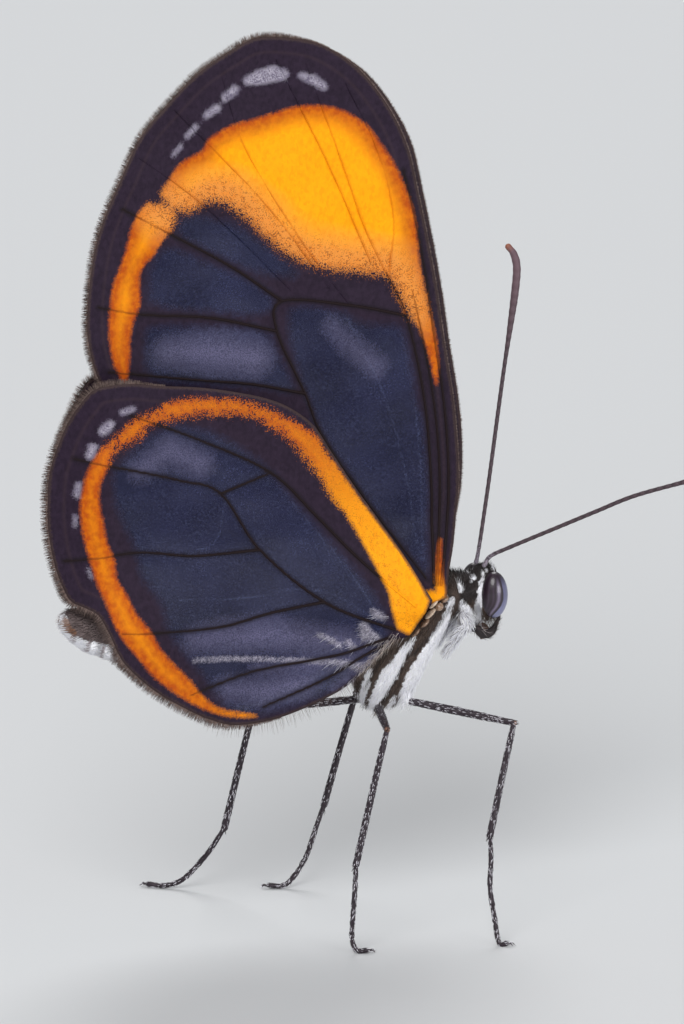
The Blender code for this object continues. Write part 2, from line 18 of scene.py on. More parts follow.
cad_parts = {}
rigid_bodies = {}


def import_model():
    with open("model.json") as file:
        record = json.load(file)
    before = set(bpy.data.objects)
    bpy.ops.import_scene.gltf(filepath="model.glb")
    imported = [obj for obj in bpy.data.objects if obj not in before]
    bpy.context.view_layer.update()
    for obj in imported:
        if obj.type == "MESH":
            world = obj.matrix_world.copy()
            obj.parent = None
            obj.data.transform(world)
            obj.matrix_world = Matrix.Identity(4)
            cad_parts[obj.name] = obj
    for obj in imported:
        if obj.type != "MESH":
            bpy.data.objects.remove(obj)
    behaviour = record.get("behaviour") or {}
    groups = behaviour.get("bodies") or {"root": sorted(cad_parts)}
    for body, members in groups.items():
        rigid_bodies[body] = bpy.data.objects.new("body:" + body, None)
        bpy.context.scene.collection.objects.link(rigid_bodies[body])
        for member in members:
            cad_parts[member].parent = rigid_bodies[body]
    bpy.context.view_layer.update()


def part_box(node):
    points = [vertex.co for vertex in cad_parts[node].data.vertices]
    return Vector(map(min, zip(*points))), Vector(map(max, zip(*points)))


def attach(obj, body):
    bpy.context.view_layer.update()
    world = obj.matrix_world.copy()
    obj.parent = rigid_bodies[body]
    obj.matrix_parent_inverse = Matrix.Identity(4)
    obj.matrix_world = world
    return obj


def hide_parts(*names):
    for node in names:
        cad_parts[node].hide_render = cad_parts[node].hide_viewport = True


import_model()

bl_info = {
    "name": "Clear-winged butterfly",
    "version": (1, 0, 0),
    "blender": (4, 5, 0),
    "location": "3D View > Sidebar > Butterfly",
    "description": "Wings, coat, eyes, feelers and legs of a small butterfly at rest, with its stage",
    "category": "Add Mesh",
}

MM = 0.001
BODY = "root"
TUFT_PATCH = 0.003  # how far a tuft reaches on the unwrap that it takes its place from

# The view that the outlines were drawn in
VIEW_YAW = math.radians(20)
VIEW_ELEVATION = math.radians(16)
PIXELS_PER_MM = 25.0
ORIGIN_PIXEL = (390.0, 908.0)
PHOTO_WIDTH, PHOTO_HEIGHT = 684, 1024
SENSOR = 36.0

# Named sizes of the solids that the pieces here stand for
GAP = 0.3
SOLID_WING = 0.5
SOLID_VEIN = 0.12
FOREWING_INNER = GAP / 2
HINDWING_INNER = FOREWING_INNER + SOLID_WING + SOLID_VEIN + GAP
SPREAD, SPREAD_TOP, SPREAD_BOTTOM = 1.3, 16.5, 12.5
SPREAD_FRONT, SPREAD_BACK, SPREAD_LEAST = 1.7, -0.3, 0.45
CLOSING_START, CLOSING_END = -12.2, -14.9
ROOTING, ROOTING_TOP, ROOTING_BOTTOM = 0.2, 12.9, 12.1
ROOTING_BACK, ROOTING_FRONT = -3.0, -1.2
WING_ROOT = (1.5, 12.6)
FAR_FORWARD, FAR_LOWER, FAR_REACH = 0.4, 0.25, 8.0
THORAX_SECTIONS = (
    (-1.70, 10.3, 12.9, 0.95), (-1.45, 9.2, 13.1, 1.12), (-1.00, 8.45, 13.3, 1.20),
    (-0.30, 8.3, 13.45, 1.26), (0.50, 8.5, 13.5, 1.33), (1.20, 9.5, 13.5, 1.36),
    (1.90, 10.9, 13.6, 1.26), (2.45, 11.8, 13.8, 1.06), (2.87, 12.2, 13.8, 0.9),
    (3.08, 12.4, 13.6, 0.6),
)
ABDOMEN_FRONT, ABDOMEN_TIP, ABDOMEN_RADIUS = -2.0, -14.1, 1.2
ABDOMEN_AXIS = (
    (ABDOMEN_FRONT, 11.75), (-5.5, 12.4), (-9.8, 12.7), (-12.2, 12.66), (ABDOMEN_TIP, 13.3),
)
ABDOMEN_SEGMENTS = 8
HEAD_MIDDLE = Vector((4.03, 0.12, 12.79))
HEAD_TURN = math.radians(12)
HEAD_HALF_LENGTH, HEAD_HALF_WIDTH, HEAD_HEIGHT = 0.7, 0.5, 2.3
EYE_HALF_LENGTH, EYE_BULGE, EYE_HEIGHT = 0.6, 0.55, 1.9
EYE_SLIMMING, EYE_FORWARD = 0.92, 0.03  # of the globe, to leave room for the ring of hair behind it

# Wing outlines and main veins, in pixels
FOREWING_EDGE = (
    (446, 597), (448, 573), (453, 536), (457, 494), (457, 452), (452, 396), (443, 340), (433, 273),
    (416, 188), (405, 143), (385, 104), (357, 70), (321, 47), (287, 40), (256, 41), (231, 54),
    (197, 77), (166, 110), (141, 141), (121, 183), (107, 216), (96, 253), (90, 289), (88, 331),
    (93, 362), (104, 390), (122, 408), (160, 425), (215, 434), (265, 448), (300, 473), (335, 508),
    (370, 548), (400, 580), (428, 606),
)
HINDWING_EDGE = (
    (432, 600), (418, 578), (400, 550), (375, 515), (350, 480), (330, 450), (313, 425),
    (290, 408), (265, 398), (235, 392), (200, 388), (160, 386), (130, 384), (99, 389),
    (82, 404), (68, 424), (58, 447), (50, 475), (48, 508), (50, 536), (55, 564), (63, 586),
    (72, 601), (85, 607), (99, 615), (110, 634), (124, 662), (152, 688), (180, 705), (208, 718),
    (236, 724), (278, 717), (321, 699), (349, 683), (374, 660),
)
FOREWING_VEINS = (
    ((440, 585), (446, 520), (447, 460), (442, 396), (432, 330), (424, 273), (413, 216), (402, 170)),
    ((436, 585), (438, 520), (438, 460), (432, 396), (421, 335), (411, 290)),
    ((433, 585), (431, 530), (430, 480), (423, 398), (405, 315), (385, 273)),
    ((405, 315), (349, 305), (281, 301), (276, 331), (304, 393), (321, 435), (363, 497), (402, 548),
     (425, 578)),
    ((281, 301), (232, 268), (180, 240), (122, 210)),
    ((276, 331), (210, 318), (144, 315), (98, 308)),
    ((304, 393), (252, 384), (200, 380), (108, 372)),
)
FOREWING_RAYS = (
    ((385, 273), (363, 225), (340, 160), (305, 65)),
    ((349, 305), (300, 240), (245, 150), (222, 80)),
    ((388, 275), (392, 215), (376, 150), (345, 85)),
    ((370, 262), (330, 170), (276, 62)),
    ((330, 290), (265, 205), (175, 112)),
    ((290, 290), (235, 235), (190, 195), (140, 160)),
)
HINDWING_ROOT = ((392, 641), (409, 634), (425, 612))  # runs on past the solids' edge
HINDWING_VEINS = (
    ((415, 606), (360, 560), (315, 515), (270, 472), (200, 440), (130, 415)),
    ((394, 629), (323, 601), (259, 549), (220, 493), (180, 480), (121, 468), (74, 458)),
    ((220, 493), (270, 472)),
    ((259, 549), (194, 555), (135, 552), (64, 560)),
    ((323, 601), (270, 612), (220, 626), (160, 632), (122, 633)),
    ((388, 637), (348, 651), (306, 660), (250, 671), (190, 694)),
    ((382, 645), (354, 660), (320, 680), (262, 706)),
)

# Wing markings and painted sheen, in pixels: outlines, and strokes whose last number is the half width
FOREWING_ORANGE = (
    ((161, 194), (180, 166), (203, 152), (208, 141), (231, 127), (253, 121), (273, 115), (304, 107),
     (337, 110), (363, 124), (379, 143), (394, 166), (405, 191), (413, 216), (417, 250), (419, 267),
     (426, 300), (433, 329), (437, 357), (435, 385), (427, 352), (417, 326), (405, 309), (388, 278),
     (363, 273), (335, 270), (309, 264), (284, 253), (264, 236), (242, 216), (220, 203), (203, 205),
     (191, 212), (169, 211)),
    ((147, 205), (137, 216), (131, 233), (127, 250), (119, 273), (113, 289), (110, 312), (109, 329),
     (110, 343), (112, 357), (117, 371), (123, 382), (127, 381), (130, 357), (130, 343), (133, 323),
     (140, 306), (141, 273), (152, 258), (161, 244), (172, 228), (176, 216), (172, 205)),
)
FOREWING_ORANGE_STROKES = (
    ((441, 602, 6), (440, 590, 5), (438, 575, 4), (438, 560, 3), (439, 540, 1.5)),
    ((430, 594, 4), (437, 600, 5)),
)
FOREWING_SPECKLED = FOREWING_ORANGE[0][-12:]  # the lower edge of the large patch
FOREWING_WHITE = (
    ((248, 83, 5), (258, 80, 8), (273, 76, 9), (283, 77, 6)),
    ((301, 77, 3.5), (312, 81, 5), (323, 88, 4)),
    ((225, 100, 4.5), (234, 92, 5)),
    ((207, 117, 4), (217, 110, 4.5)),
    ((188, 138, 3), (196, 129, 3.5)),
    ((174, 157, 2), (181, 148, 2.5)),
)
FOREWING_CLEAR = (
    ((175, 222), (197, 216), (236, 225), (264, 244), (293, 267), (293, 278), (253, 273), (208, 253),
     (180, 239)),
    ((149, 273), (161, 250), (180, 250), (214, 264), (253, 281), (273, 298), (273, 309), (253, 316),
     (208, 313), (166, 309), (147, 301)),
    ((144, 337), (152, 326), (208, 325), (253, 327), (270, 334), (281, 357), (293, 390), (253, 387),
     (197, 385), (158, 382), (144, 368)),
    ((287, 309), (309, 305), (343, 311), (363, 323), (399, 326), (410, 357), (417, 400), (424, 424),
     (429, 480), (429, 536), (424, 578), (402, 548), (363, 497), (321, 435), (304, 396), (287, 340)),
)
# Painted sheen: whitish reflections of light on the forewing's clear membrane, drawn as strokes
FOREWING_PAINTED_SHEEN = (
    ((168, 352, 10), (210, 352, 16), (255, 358, 14)),
    ((330, 325, 2), (350, 345, 6), (375, 365, 4)),
)
# Folds of the forewing's membrane, along which a paler line of painted highlight is drawn
FOREWING_FOLDS = (
    ((398, 320), (413, 400), (420, 480), (424, 560)),
    ((345, 315), (385, 400), (408, 490), (420, 560)),
)
HINDWING_BAND_OUTER = (
    (409, 634), (427, 606), (428, 599), (424, 593), (416, 573), (402, 553), (382, 528), (363, 503),
    (343, 475), (326, 452), (315, 435), (304, 427), (281, 416), (259, 406), (236, 400), (208, 399),
    (186, 399), (169, 403), (152, 413), (133, 421), (116, 438), (99, 452), (92, 463), (85, 480), (81, 497),
    (81, 514), (83, 531), (88, 553), (93, 570), (99, 587), (107, 604), (113, 621), (124, 640),
    (138, 657), (152, 674), (169, 688), (186, 699), (208, 710), (231, 716), (256, 716),
)
HINDWING_BAND_INNER = (
    (256, 714), (234, 711), (220, 708), (203, 696), (189, 679), (175, 665), (161, 649), (149, 629),
    (135, 612), (127, 595), (117, 578), (114, 559), (107, 542), (103, 520), (100, 503), (100, 486),
    (106, 472), (113, 455), (124, 445), (138, 438), (149, 424), (163, 420), (186, 415), (208, 413),
    (248, 414), (264, 421), (284, 435), (298, 449), (309, 463), (321, 480), (332, 497), (343, 511),
    (354, 528), (365, 548), (377, 570), (388, 593), (391, 609), (397, 628),
)
HINDWING_ORANGE = (HINDWING_BAND_OUTER + HINDWING_BAND_INNER,)
HINDWING_SPECKLED = HINDWING_BAND_INNER[18:]
HINDWING_WHITE = (
    ((123, 412, 3), (133, 409, 3)),
    ((104, 431, 5), (111, 425, 5)),
    ((90, 455, 4), (94, 447, 4.5)),
    ((77, 495, 3), (79, 484, 3)),
    ((76, 525, 1.8), (76, 516, 1.8)),
    ((91, 576, 1.6), (89, 568, 1.6)),
)
HINDWING_CLEAR = (
    ((166, 424), (197, 427), (236, 444), (270, 469), (293, 497), (315, 522), (337, 548), (363, 578),
     (382, 607), (388, 632), (378, 655), (345, 684), (300, 704), (256, 715), (231, 712), (208, 685),
     (203, 677), (186, 657), (166, 629), (161, 604), (141, 578), (133, 548), (116, 508), (113, 472),
     (124, 458), (144, 438)),
)
# Painted sheen: whitish and purple-grey reflections of light on the hindwing's clear membrane, drawn as
# strokes
HINDWING_PAINTED_SHEEN = (
    ((194, 640, 8), (222, 636, 12), (264, 634, 12), (307, 638, 10), (335, 640, 8), (363, 645, 6)),
    ((259, 668, 4), (309, 664, 6), (351, 658, 6)),
    ((340, 690, 5), (352, 676, 6), (364, 668, 6)),
    ((226, 688, 8), (262, 690, 12), (304, 682, 9)),
    ((140, 470, 6), (170, 450, 10), (200, 462, 8)),
)
HINDWING_SILK = (
    ((194, 660, 1.2), (222, 658, 1.4), (264, 658, 1.2), (307, 660, 1.6), (335, 661, 2.2), (362, 666, 3)),
    ((372, 611, 2.5), (379, 615, 3.5), (385, 618, 2)),
    ((362, 624, 4), (366, 634, 6), (374, 638, 5)),
    ((346, 641, 1.6), (353, 647, 1.8)),
    ((318, 634, 1.2), (332, 640, 1.6), (340, 646, 1.2)),
    ((376, 656, 4), (368, 664, 4), (357, 668, 3)),
)
# Folds of the hindwing's membrane, along which a paler line of painted highlight is drawn
HINDWING_FOLDS = (
    ((390, 628), (320, 590), (242, 597), (180, 600)),
    ((225, 500), (215, 540), (190, 552)),
    ((388, 630), (340, 560), (290, 500)),
)

# Markings of the body's right side in pixels: white strokes with their half widths, then lines; the lines
# between the abdomen's lobes and along the thorax's grooves carry painted shade
THORAX_WHITE = (
    ((452.5, 599, 2.5), (446, 619, 4), (438.8, 635, 5.5), (430, 651, 6.5), (420, 666, 7.5),
     (411, 682.5, 7.5), (405, 701, 6), (402, 708, 3)),
    ((414, 639, 2.5), (405, 650, 4.5), (400, 659, 6), (389, 676, 8.5), (380, 691, 7), (371, 708, 4)),
    ((370, 671, 3), (366, 685, 4), (360.6, 703, 3.5)),
    ((395, 697, 2.5), (390, 707, 3)),
)
HEAD_WHITE = (
    ((483.5, 573, 1.4), (481.5, 584, 1.9), (480, 595, 2.6), (478.5, 606, 3.6), (477, 616, 4.4)),
    ((462, 601, 2), (465, 608, 5), (470, 616, 5.5)),
    ((469, 613, 4), (464, 623, 3.5)),
    ((459, 584, 2), (461, 590, 2.5)),
    ((472, 580.5, 1.6), (475.5, 578, 1.6)),
    ((470.5, 567.5, 1), (476, 565, 1.2)),
    ((461.5, 561, 1), (465, 561, 1.2)),
    ((486, 571, 1.2), (488, 570, 1)),
    ((493.5, 571, 1), (495.5, 563, 1.6)),
)
ABDOMEN_TAN = ((66, 620), (70, 628), (75, 633))
# Painted shade: grey lines drawn in the white fur between the lobes under the abdomen's tip
ABDOMEN_LOBE_SHADE = (
    ((79, 626), (75, 641)), ((92, 637), (88, 652)), ((105, 645), (102, 660)),
    ((116, 650), (115, 664)),
)
ABDOMEN_LOBES = (  # pixel, depth and radius in millimetres
    (82, 635, -5.22, 0.25), (95, 646, -5.14, 0.22), (111, 653, -5.0, 0.23),
)
# Grooves of the thorax, sunk into the skin and darkened there with painted shade
THORAX_GROOVES = (
    ((412, 650), (404, 664), (397.5, 677.5), (388, 694), (380, 707)),
    ((452, 607), (440, 625), (428, 640), (414, 655)),
    ((386, 652), (376, 668), (364, 690)),
    ((462, 612), (452, 628), (440, 646)),
)

# Feelers: pixel and depth behind the body's axis
ANTENNA_PATHS = {
    "left": ((476.5, 562, 1.55), (479, 549, 1.6), (484, 516, 1.9), (490, 474, 2.2), (498, 414, 2.7),
             (504, 370, 3.0), (510, 329, 3.3), (515, 293, 3.6), (517, 268, 3.8), (514, 254, 3.9),
             (508.5, 246.5, 4.0)),
    "right": ((484.5, 565, 1.0), (491, 556, 0.95), (513, 546, 0.7), (561, 526, 0.3), (597, 511, -0.1),
              (634, 496, -0.5), (684, 482, -1.0), (720, 472, -1.4), (750, 464, -1.7),
              (768, 458, -1.9), (778, 452, -2.0)),
}
ANTENNA_JOINTS = 38
ORANGE_TIP = 0.985  # of a feeler's length, where its tip turns orange-brown

# Legs: where the hip sits on the thorax (x, angle below level), then pixel and depth of each joint
LEGS = {
    "mid_right": {
        "hip": (0.45, 58), "side": -1, "knee": (514, 723, -1.8), "ankle": (490, 835, -3.8),
        "foot": ((491, 860, -4.2), (490, 887, -4.7), (494, 915, -5.2), (499, 936, -5.45),
                 (507, 941, -5.55)),
    },
    "hind_right": {
        "hip": (-0.75, 62), "side": -1, "knee": (387, 729, -5.6), "ankle": (356, 864, -6.2),
        "foot": ((355, 887, -6.3), (353, 915, -6.4), (352, 938, -6.45), (357, 947, -6.5),
                 (368, 948, -6.5)),
    },
    "mid_left": {
        "hip": (0.45, 58), "side": 1, "knee": (356, 694, 4.6), "ankle": (324, 806, 3.4),
        "foot": ((316, 829, 3.1), (306, 858, 2.8), (294, 878, 2.6), (283, 885, 2.5),
                 (268, 886, 2.5)),
    },
    "hind_left": {
        "hip": (-0.75, 62), "side": 1, "knee": (253, 710, 1.2), "ankle": (224, 829, 2.2),
        "foot": ((210, 851, 2.3), (195, 869, 2.4), (181, 882, 2.45), (165, 886, 2.5),
                 (146, 884, 2.7)),
    },
}
FORELEG_PATH = ((3.05, 0.6, 11.7), (2.78, 0.6, 11.38), (2.48, 0.61, 11.0), (2.23, 0.62, 10.62))
PALP_PATH = ((-0.55, -1.5), (-0.37, -1.7), (-0.08, -1.76), (0.17, -1.63), (0.32, -1.4))
PALP_SPACING, PALP_RADIUS, PALP_RAISE = 0.55, 0.17, 0.1
PALP_TIP = (0.08, 0.34)  # how far forward and up the haired tip runs on from the path
COIL_MIDDLE, COIL_RADIUS, COIL_TURNS = (-0.08, -1.66), 0.3, 1.9

# Where the skin runs on between the solids: ends and radii of a rod, middle and half sizes of a ball
WAIST = ((-2.4, 0, 11.8), (-1.3, 0, 11.7), 0.72, 0.72)
NECK_START, NECK_START_RADIUS, NECK_END_RADIUS = (2.9, 0, 12.95), 0.72, 0.62
THROAT = ((3.05, 0, 12.25), (0.45, 0.7, 0.42))
BROW_PLACE, BROW = (0.12, 0, 0.72), (0.42, 0.42, 0.36)
HIP_RADII = (0.34, 0.2)
SKIN_VOXEL = 0.085

# The coat's length in millimetres on thorax and abdomen, what each place adds to it, and how far its
# tufts stand up there
COAT_LENGTHS = (0.27, 0.2)
LONGER = {"hem": 0.1, "throat": 0.14, "head": -0.13, "brow": 0.2, "tail": 0.08, "chin": 0.24}
STANDING = {"collar": 0.55, "throat": 0.35, "hem": 0.25, "chin": 1.1}

# Bands of an eye: turn forward from outwards (1 is a quarter turn), half width and softness
EYE_STREAK = (-0.13, 0.07, 0.12)
EYE_FAINT_BANDS = ((-0.62, 0.03, 0.1), (-0.38, 0.02, 0.1))
EYE_FRONT_BAND, EYE_BANDS_TOP = 0.12, 0.66

# Lights: turn and rise in degrees, distance and diameter in metres, share of the main light
LIGHTS = {
    "key": (-38, 42, 0.42, 0.26, 0.75), "fill": (26, 4, 0.5, 0.3, 0.95), "rim": (160, 50, 0.4, 0.2, 0.45),
}
FLOOR_HALF = 6.0

THORAX_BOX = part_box("thorax")
SHIFT = Vector((
    THORAX_BOX[0].x / MM - THORAX_SECTIONS[0][0], (THORAX_BOX[0].y + THORAX_BOX[1].y) / 2 / MM, 0
))


def srgb(red, green, blue):
    """A colour in linear light from its 0 to 255 screen values."""
    parts = [v / 255 for v in (red, green, blue)]
    return tuple(v / 12.92 if v <= 0.04045 else ((v + 0.055) / 1.055) ** 2.4 for v in parts)


# Places

def ease(t):
    t = np.clip(t, 0.0, 1.0)
    return t * t * (3 - 2 * t)


def from_view(across_pixel, down_pixel, depth):
    """The point seen at this pixel, this many millimetres behind the body's axis."""
    across = (across_pixel - ORIGIN_PIXEL[0]) / PIXELS_PER_MM
    up = (ORIGIN_PIXEL[1] - down_pixel) / PIXELS_PER_MM
    sine, cosine = math.sin(VIEW_YAW), math.cos(VIEW_YAW)
    height = (up - depth * math.sin(VIEW_ELEVATION)) / math.cos(VIEW_ELEVATION)
    return np.array((across * cosine + depth * sine, depth * cosine - across * sine, height))


def to_view(points):
    """The pixels at which points of the animal are seen."""
    x, y, z = points.T
    across = x * math.cos(VIEW_YAW) - y * math.sin(VIEW_YAW)
    depth = x * math.sin(VIEW_YAW) + y * math.cos(VIEW_YAW)
    up = z * math.cos(VIEW_ELEVATION) + depth * math.sin(VIEW_ELEVATION)
    return np.stack(
        [ORIGIN_PIXEL[0] + PIXELS_PER_MM * across, ORIGIN_PIXEL[1] - PIXELS_PER_MM * up], axis=1
    )


def spread(x, z):
    by_height = ease((SPREAD_TOP - z) / (SPREAD_TOP - SPREAD_BOTTOM))
    by_length = ease((x - SPREAD_BACK) / (SPREAD_FRONT - SPREAD_BACK))
    return SPREAD * by_height * (SPREAD_LEAST + (1 - SPREAD_LEAST) * by_length)


def forewing_face(x, z):
    """Distance of the forewing's inner face from the middle of the body."""
    return FOREWING_INNER + spread(x, z)


def hindwing_face(x, z):
    closing = ease((x - CLOSING_END) / (CLOSING_START - CLOSING_END))
    by_height = ease((ROOTING_TOP - z) / (ROOTING_TOP - ROOTING_BOTTOM))
    by_length = ease((x - ROOTING_BACK) / (ROOTING_FRONT - ROOTING_BACK))
    outer = (HINDWING_INNER - FOREWING_INNER) * closing
    return FOREWING_INNER + outer + spread(x, z) - ROOTING * by_height * by_length


def on_wing(pixels, face):
    """The x and z of what is seen at these pixels on the right wing with this inner face."""
    pixels = np.asarray(pixels, float)[:, :2]
    across = (pixels[:, 0] - ORIGIN_PIXEL[0]) / PIXELS_PER_MM
    up = (ORIGIN_PIXEL[1] - pixels[:, 1]) / PIXELS_PER_MM
    y = np.zeros(len(pixels))
    for _ in range(7):
        x = (across + y * math.sin(VIEW_YAW)) / math.cos(VIEW_YAW)
        depth = x * math.sin(VIEW_YAW) + y * math.cos(VIEW_YAW)
        z = (up - depth * math.sin(VIEW_ELEVATION)) / math.cos(VIEW_ELEVATION)
        y = -face(x, z)
    return np.stack([x, z], axis=1)


def curve_through(points, step):
    """Points about a step apart on the smooth curve through these ones."""
    points = np.asarray(points, float)
    ends = np.vstack([2 * points[0] - points[1], points, 2 * points[-1] - points[-2]])
    line = []
    for before, start, end, after in zip(ends, ends[1:], ends[2:], ends[3:]):
        count = max(1, round(float(np.linalg.norm((end - start)[:3])) / step))
        t = (np.arange(count) / count)[:, None]
        bend, twist = 2 * before - 5 * start + 4 * end - after, 3 * start - before - 3 * end + after
        line.append(start + 0.5 * t * ((end - before) + t * bend + t * t * twist))
    return np.vstack([*line, points[-1:]])


def line_distance(points, line):
    """How far each point is from a line of straight pieces."""
    best = np.full(len(points), np.inf)
    for start, end in zip(line, line[1:]):
        along = end - start
        t = np.clip((points - start) @ along / max(along @ along, 1e-12), 0, 1)
        best = np.minimum(best, np.linalg.norm(points - start - t[:, None] * along, axis=1))
    return best


def within(points, outline):
    """How far each point is inside the closed outline, below 0 outside it."""
    distance = line_distance(points, np.vstack([outline, outline[:1]]))
    inside = np.zeros(len(points), bool)
    for start, end in zip(outline, np.roll(outline, -1, axis=0)):
        if start[1] != end[1]:
            crossed = (start[1] > points[:, 1]) != (end[1] > points[:, 1])
            at = start[0] + (points[:, 1] - start[1]) / (end[1] - start[1]) * (end[0] - start[0])
            inside ^= crossed & (points[:, 0] < at)
    return np.where(inside, distance, -distance)


def within_stroke(points, line, half_widths):
    """How far each point is inside a brush stroke whose width changes along it."""
    best = np.full(len(points), -np.inf)
    for i in range(len(line) - 1):
        along = line[i + 1] - line[i]
        t = np.clip((points - line[i]) @ along / max(along @ along, 1e-12), 0, 1)
        half = half_widths[i] + t * (half_widths[i + 1] - half_widths[i])
        away = np.linalg.norm(points - line[i] - t[:, None] * along, axis=1)
        best = np.maximum(best, half - away)
    return best


def wing_stroke(points, stroke, face):
    """How far each point of a wing's plane is inside a brush stroke drawn in pixels."""
    return within_stroke(points, on_wing(stroke, face), np.array(stroke)[:, 2] / PIXELS_PER_MM)


def head_place():
    return Matrix.Translation(HEAD_MIDDLE) @ Matrix.Rotation(HEAD_TURN, 4, "Z")


def moved(points, matrix):
    matrix = np.array(matrix)
    return points @ matrix[:3, :3].T + matrix[:3, 3]


# Meshes

def set_attributes(mesh, attributes):
    """Puts each array, of one number or one vector for each point, on the mesh under its name."""
    for name, values in attributes.items():
        values = np.asarray(values, np.float32)
        kind, key = ("FLOAT", "value") if values.ndim == 1 else ("FLOAT_VECTOR", "vector")
        mesh.attributes.new(name, kind, "POINT").data.foreach_set(key, values.ravel())


def mesh_points(mesh):
    points = np.empty(len(mesh.vertices) * 3, np.float32)
    mesh.vertices.foreach_get("co", points)
    return points.reshape(-1, 3).astype(float)


def mesh_normals(mesh):
    normals = np.empty(len(mesh.vertices) * 3, np.float32)
    mesh.vertex_normals.foreach_get("vector", normals)
    return normals.reshape(-1, 3).astype(float)


def to_model(obj):
    """Puts a mesh drawn in the animal's millimetres at its place in the model, in metres."""
    obj.data.transform(Matrix.Scale(MM, 4) @ Matrix.Translation(SHIFT))
    return obj


def mesh_of(shape, name):
    """What was drawn with bmesh, as a mesh."""
    mesh = bpy.data.meshes.new(name)
    shape.to_mesh(mesh)
    shape.free()
    return mesh


def add_object(name, mesh):
    obj = bpy.data.objects.new(name, mesh)
    bpy.context.scene.collection.objects.link(obj)
    return obj


def line_object(name, lines, attributes=()):
    """Loose edges along each line, with one list of point values a line for each attribute."""
    mesh = bpy.data.meshes.new(name)
    points, edges = [], []
    for line in lines:
        start = len(points)
        points += [tuple(p) for p in line]
        edges += [(i, i + 1) for i in range(start, len(points) - 1)]
    mesh.from_pydata(points, edges, [])
    set_attributes(mesh, {
        key: np.concatenate([np.asarray(v, float) for v in per_line])
        for key, per_line in dict(attributes).items()
    })
    return add_object(name, mesh)


def settle(obj):
    """Turns what an object's modifiers make into its own plain mesh."""
    bpy.context.view_layer.update()
    graph = bpy.context.evaluated_depsgraph_get()
    mesh = bpy.data.meshes.new_from_object(
        obj.evaluated_get(graph), preserve_all_data_layers=True, depsgraph=graph
    )
    obj.modifiers.clear()
    obj.data = mesh
    if not mesh.polygons:
        raise RuntimeError(f"{obj.name} came out empty")
    return obj


def unwrap(obj):
    """An unwrap of the object's own shape, as the UV map that its tufts take their places from."""
    obj.data.uv_layers.new(name="OFBake")
    bpy.ops.object.select_all(action="DESELECT")
    bpy.context.view_layer.objects.active = obj
    obj.select_set(True)
    bpy.ops.object.mode_set(mode="EDIT")
    bpy.ops.mesh.select_all(action="SELECT")
    bpy.ops.uv.smart_project(angle_limit=math.radians(66), island_margin=0.004)
    bpy.ops.object.mode_set(mode="OBJECT")
    obj.select_set(False)


def declare(obj, slot, *nodes):
    """Ties a finished piece to the frame."""
    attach(obj, BODY)
    if nodes:
        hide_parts(*nodes)


# Node trees

class Value:
    """A socket that Python's own operators add Math nodes to."""

    def __init__(self, nodes, socket):
        self.nodes, self.socket = nodes, socket

    def __add__(self, other):
        return self.nodes.maths("ADD", self, other)

    def __sub__(self, other):
        return self.nodes.maths("SUBTRACT", self, other)

    def __rsub__(self, other):
        return self.nodes.maths("SUBTRACT", other, self)

    def __mul__(self, other):
        return self.nodes.maths("MULTIPLY", self, other)

    def __truediv__(self, other):
        return self.nodes.maths("DIVIDE", self, other)

    __radd__ = __add__
    __rmul__ = __mul__

    def size(self):
        """The value without its sign."""
        return self.nodes.maths("ABSOLUTE", self)

    def edge(self, width):
        """0 to 1 across this width, with 0.5 where the value is 0."""
        return self.nodes.maths("ADD", self / width, 0.5, clamp=True)

    def beside(self, name):
        """Another output of the same node."""
        return Value(self.nodes, self.socket.node.outputs[name])


class Nodes:
    """A node tree that grows by one method: a node's type, its settings, then its sockets."""

    def __init__(self, tree):
        self.tree = tree
        tree.nodes.clear()

    def add(self, kind, settings=None, sockets=None, out=0):
        node = self.tree.nodes.new(kind)
        for name, value in (settings or {}).items():
            setattr(node, name, value)
        for key, value in (sockets or {}).items():
            if isinstance(value, Value):
                self.tree.links.new(value.socket, node.inputs[key])
            else:
                node.inputs[key].default_value = value
        return Value(self, node.outputs[out]) if len(node.outputs) else node

    def maths(self, operation, first, second=0.0, clamp=False):
        settings = {"operation": operation, "use_clamp": clamp}
        return self.add("ShaderNodeMath", settings, {0: first, 1: second})

    def attribute(self, name):
        return self.add("ShaderNodeAttribute", {"attribute_name": name}, out="Fac")

    def grain(self, size, detail=2.0, distortion=0.0):
        """Noise about 0, from roughly -0.5 to 0.5, with features this many millimetres across."""
        place = self.add("ShaderNodeTexCoord", out="Object")
        sockets = {"Vector": place, "Scale": 1 / (size * MM), "Detail": detail, "Distortion": distortion}
        return (self.add("ShaderNodeTexNoise", None, sockets) - 0.5) * 1.7

    def shingle(self, size, stretch=(1, 1, 1)):
        """Cells this many millimetres across. Their distance comes first, their colour beside it."""
        place = self.add("ShaderNodeTexCoord", out="Object")
        placed = self.add("ShaderNodeMapping", None, {"Vector": place, "Scale": stretch})
        return self.add("ShaderNodeTexVoronoi", None, {"Vector": placed, "Scale": 1 / (size * MM)})

    def mix(self, first, second, factor):
        colours = [(*c, 1) if isinstance(c, tuple) else c for c in (first, second)]
        sockets = {0: factor, 6: colours[0], 7: colours[1]}
        return self.add("ShaderNodeMix", {"data_type": "RGBA"}, sockets, out=2)

    def bump(self, height, depth, strength=1.0):
        """A surface raised by this many millimetres where the height is 1."""
        sockets = {"Height": height, "Distance": depth * MM, "Strength": strength}
        return self.add("ShaderNodeBump", None, sockets)

    def surface(self, **sockets):
        """The Principled shader and the output. A socket's name has _ for each space."""
        named = {key.replace("_", " "): value for key, value in sockets.items()}
        for key, value in named.items():
            if isinstance(value, tuple) and len(value) == 3:
                named[key] = (*value, 1)
        shader = self.add("ShaderNodeBsdfPrincipled", None, named)
        self.add("ShaderNodeOutputMaterial", None, {"Surface": shader})


def new_material(name):
    material = bpy.data.materials.new(name)
    material.use_nodes = True
    return material, Nodes(material.node_tree)


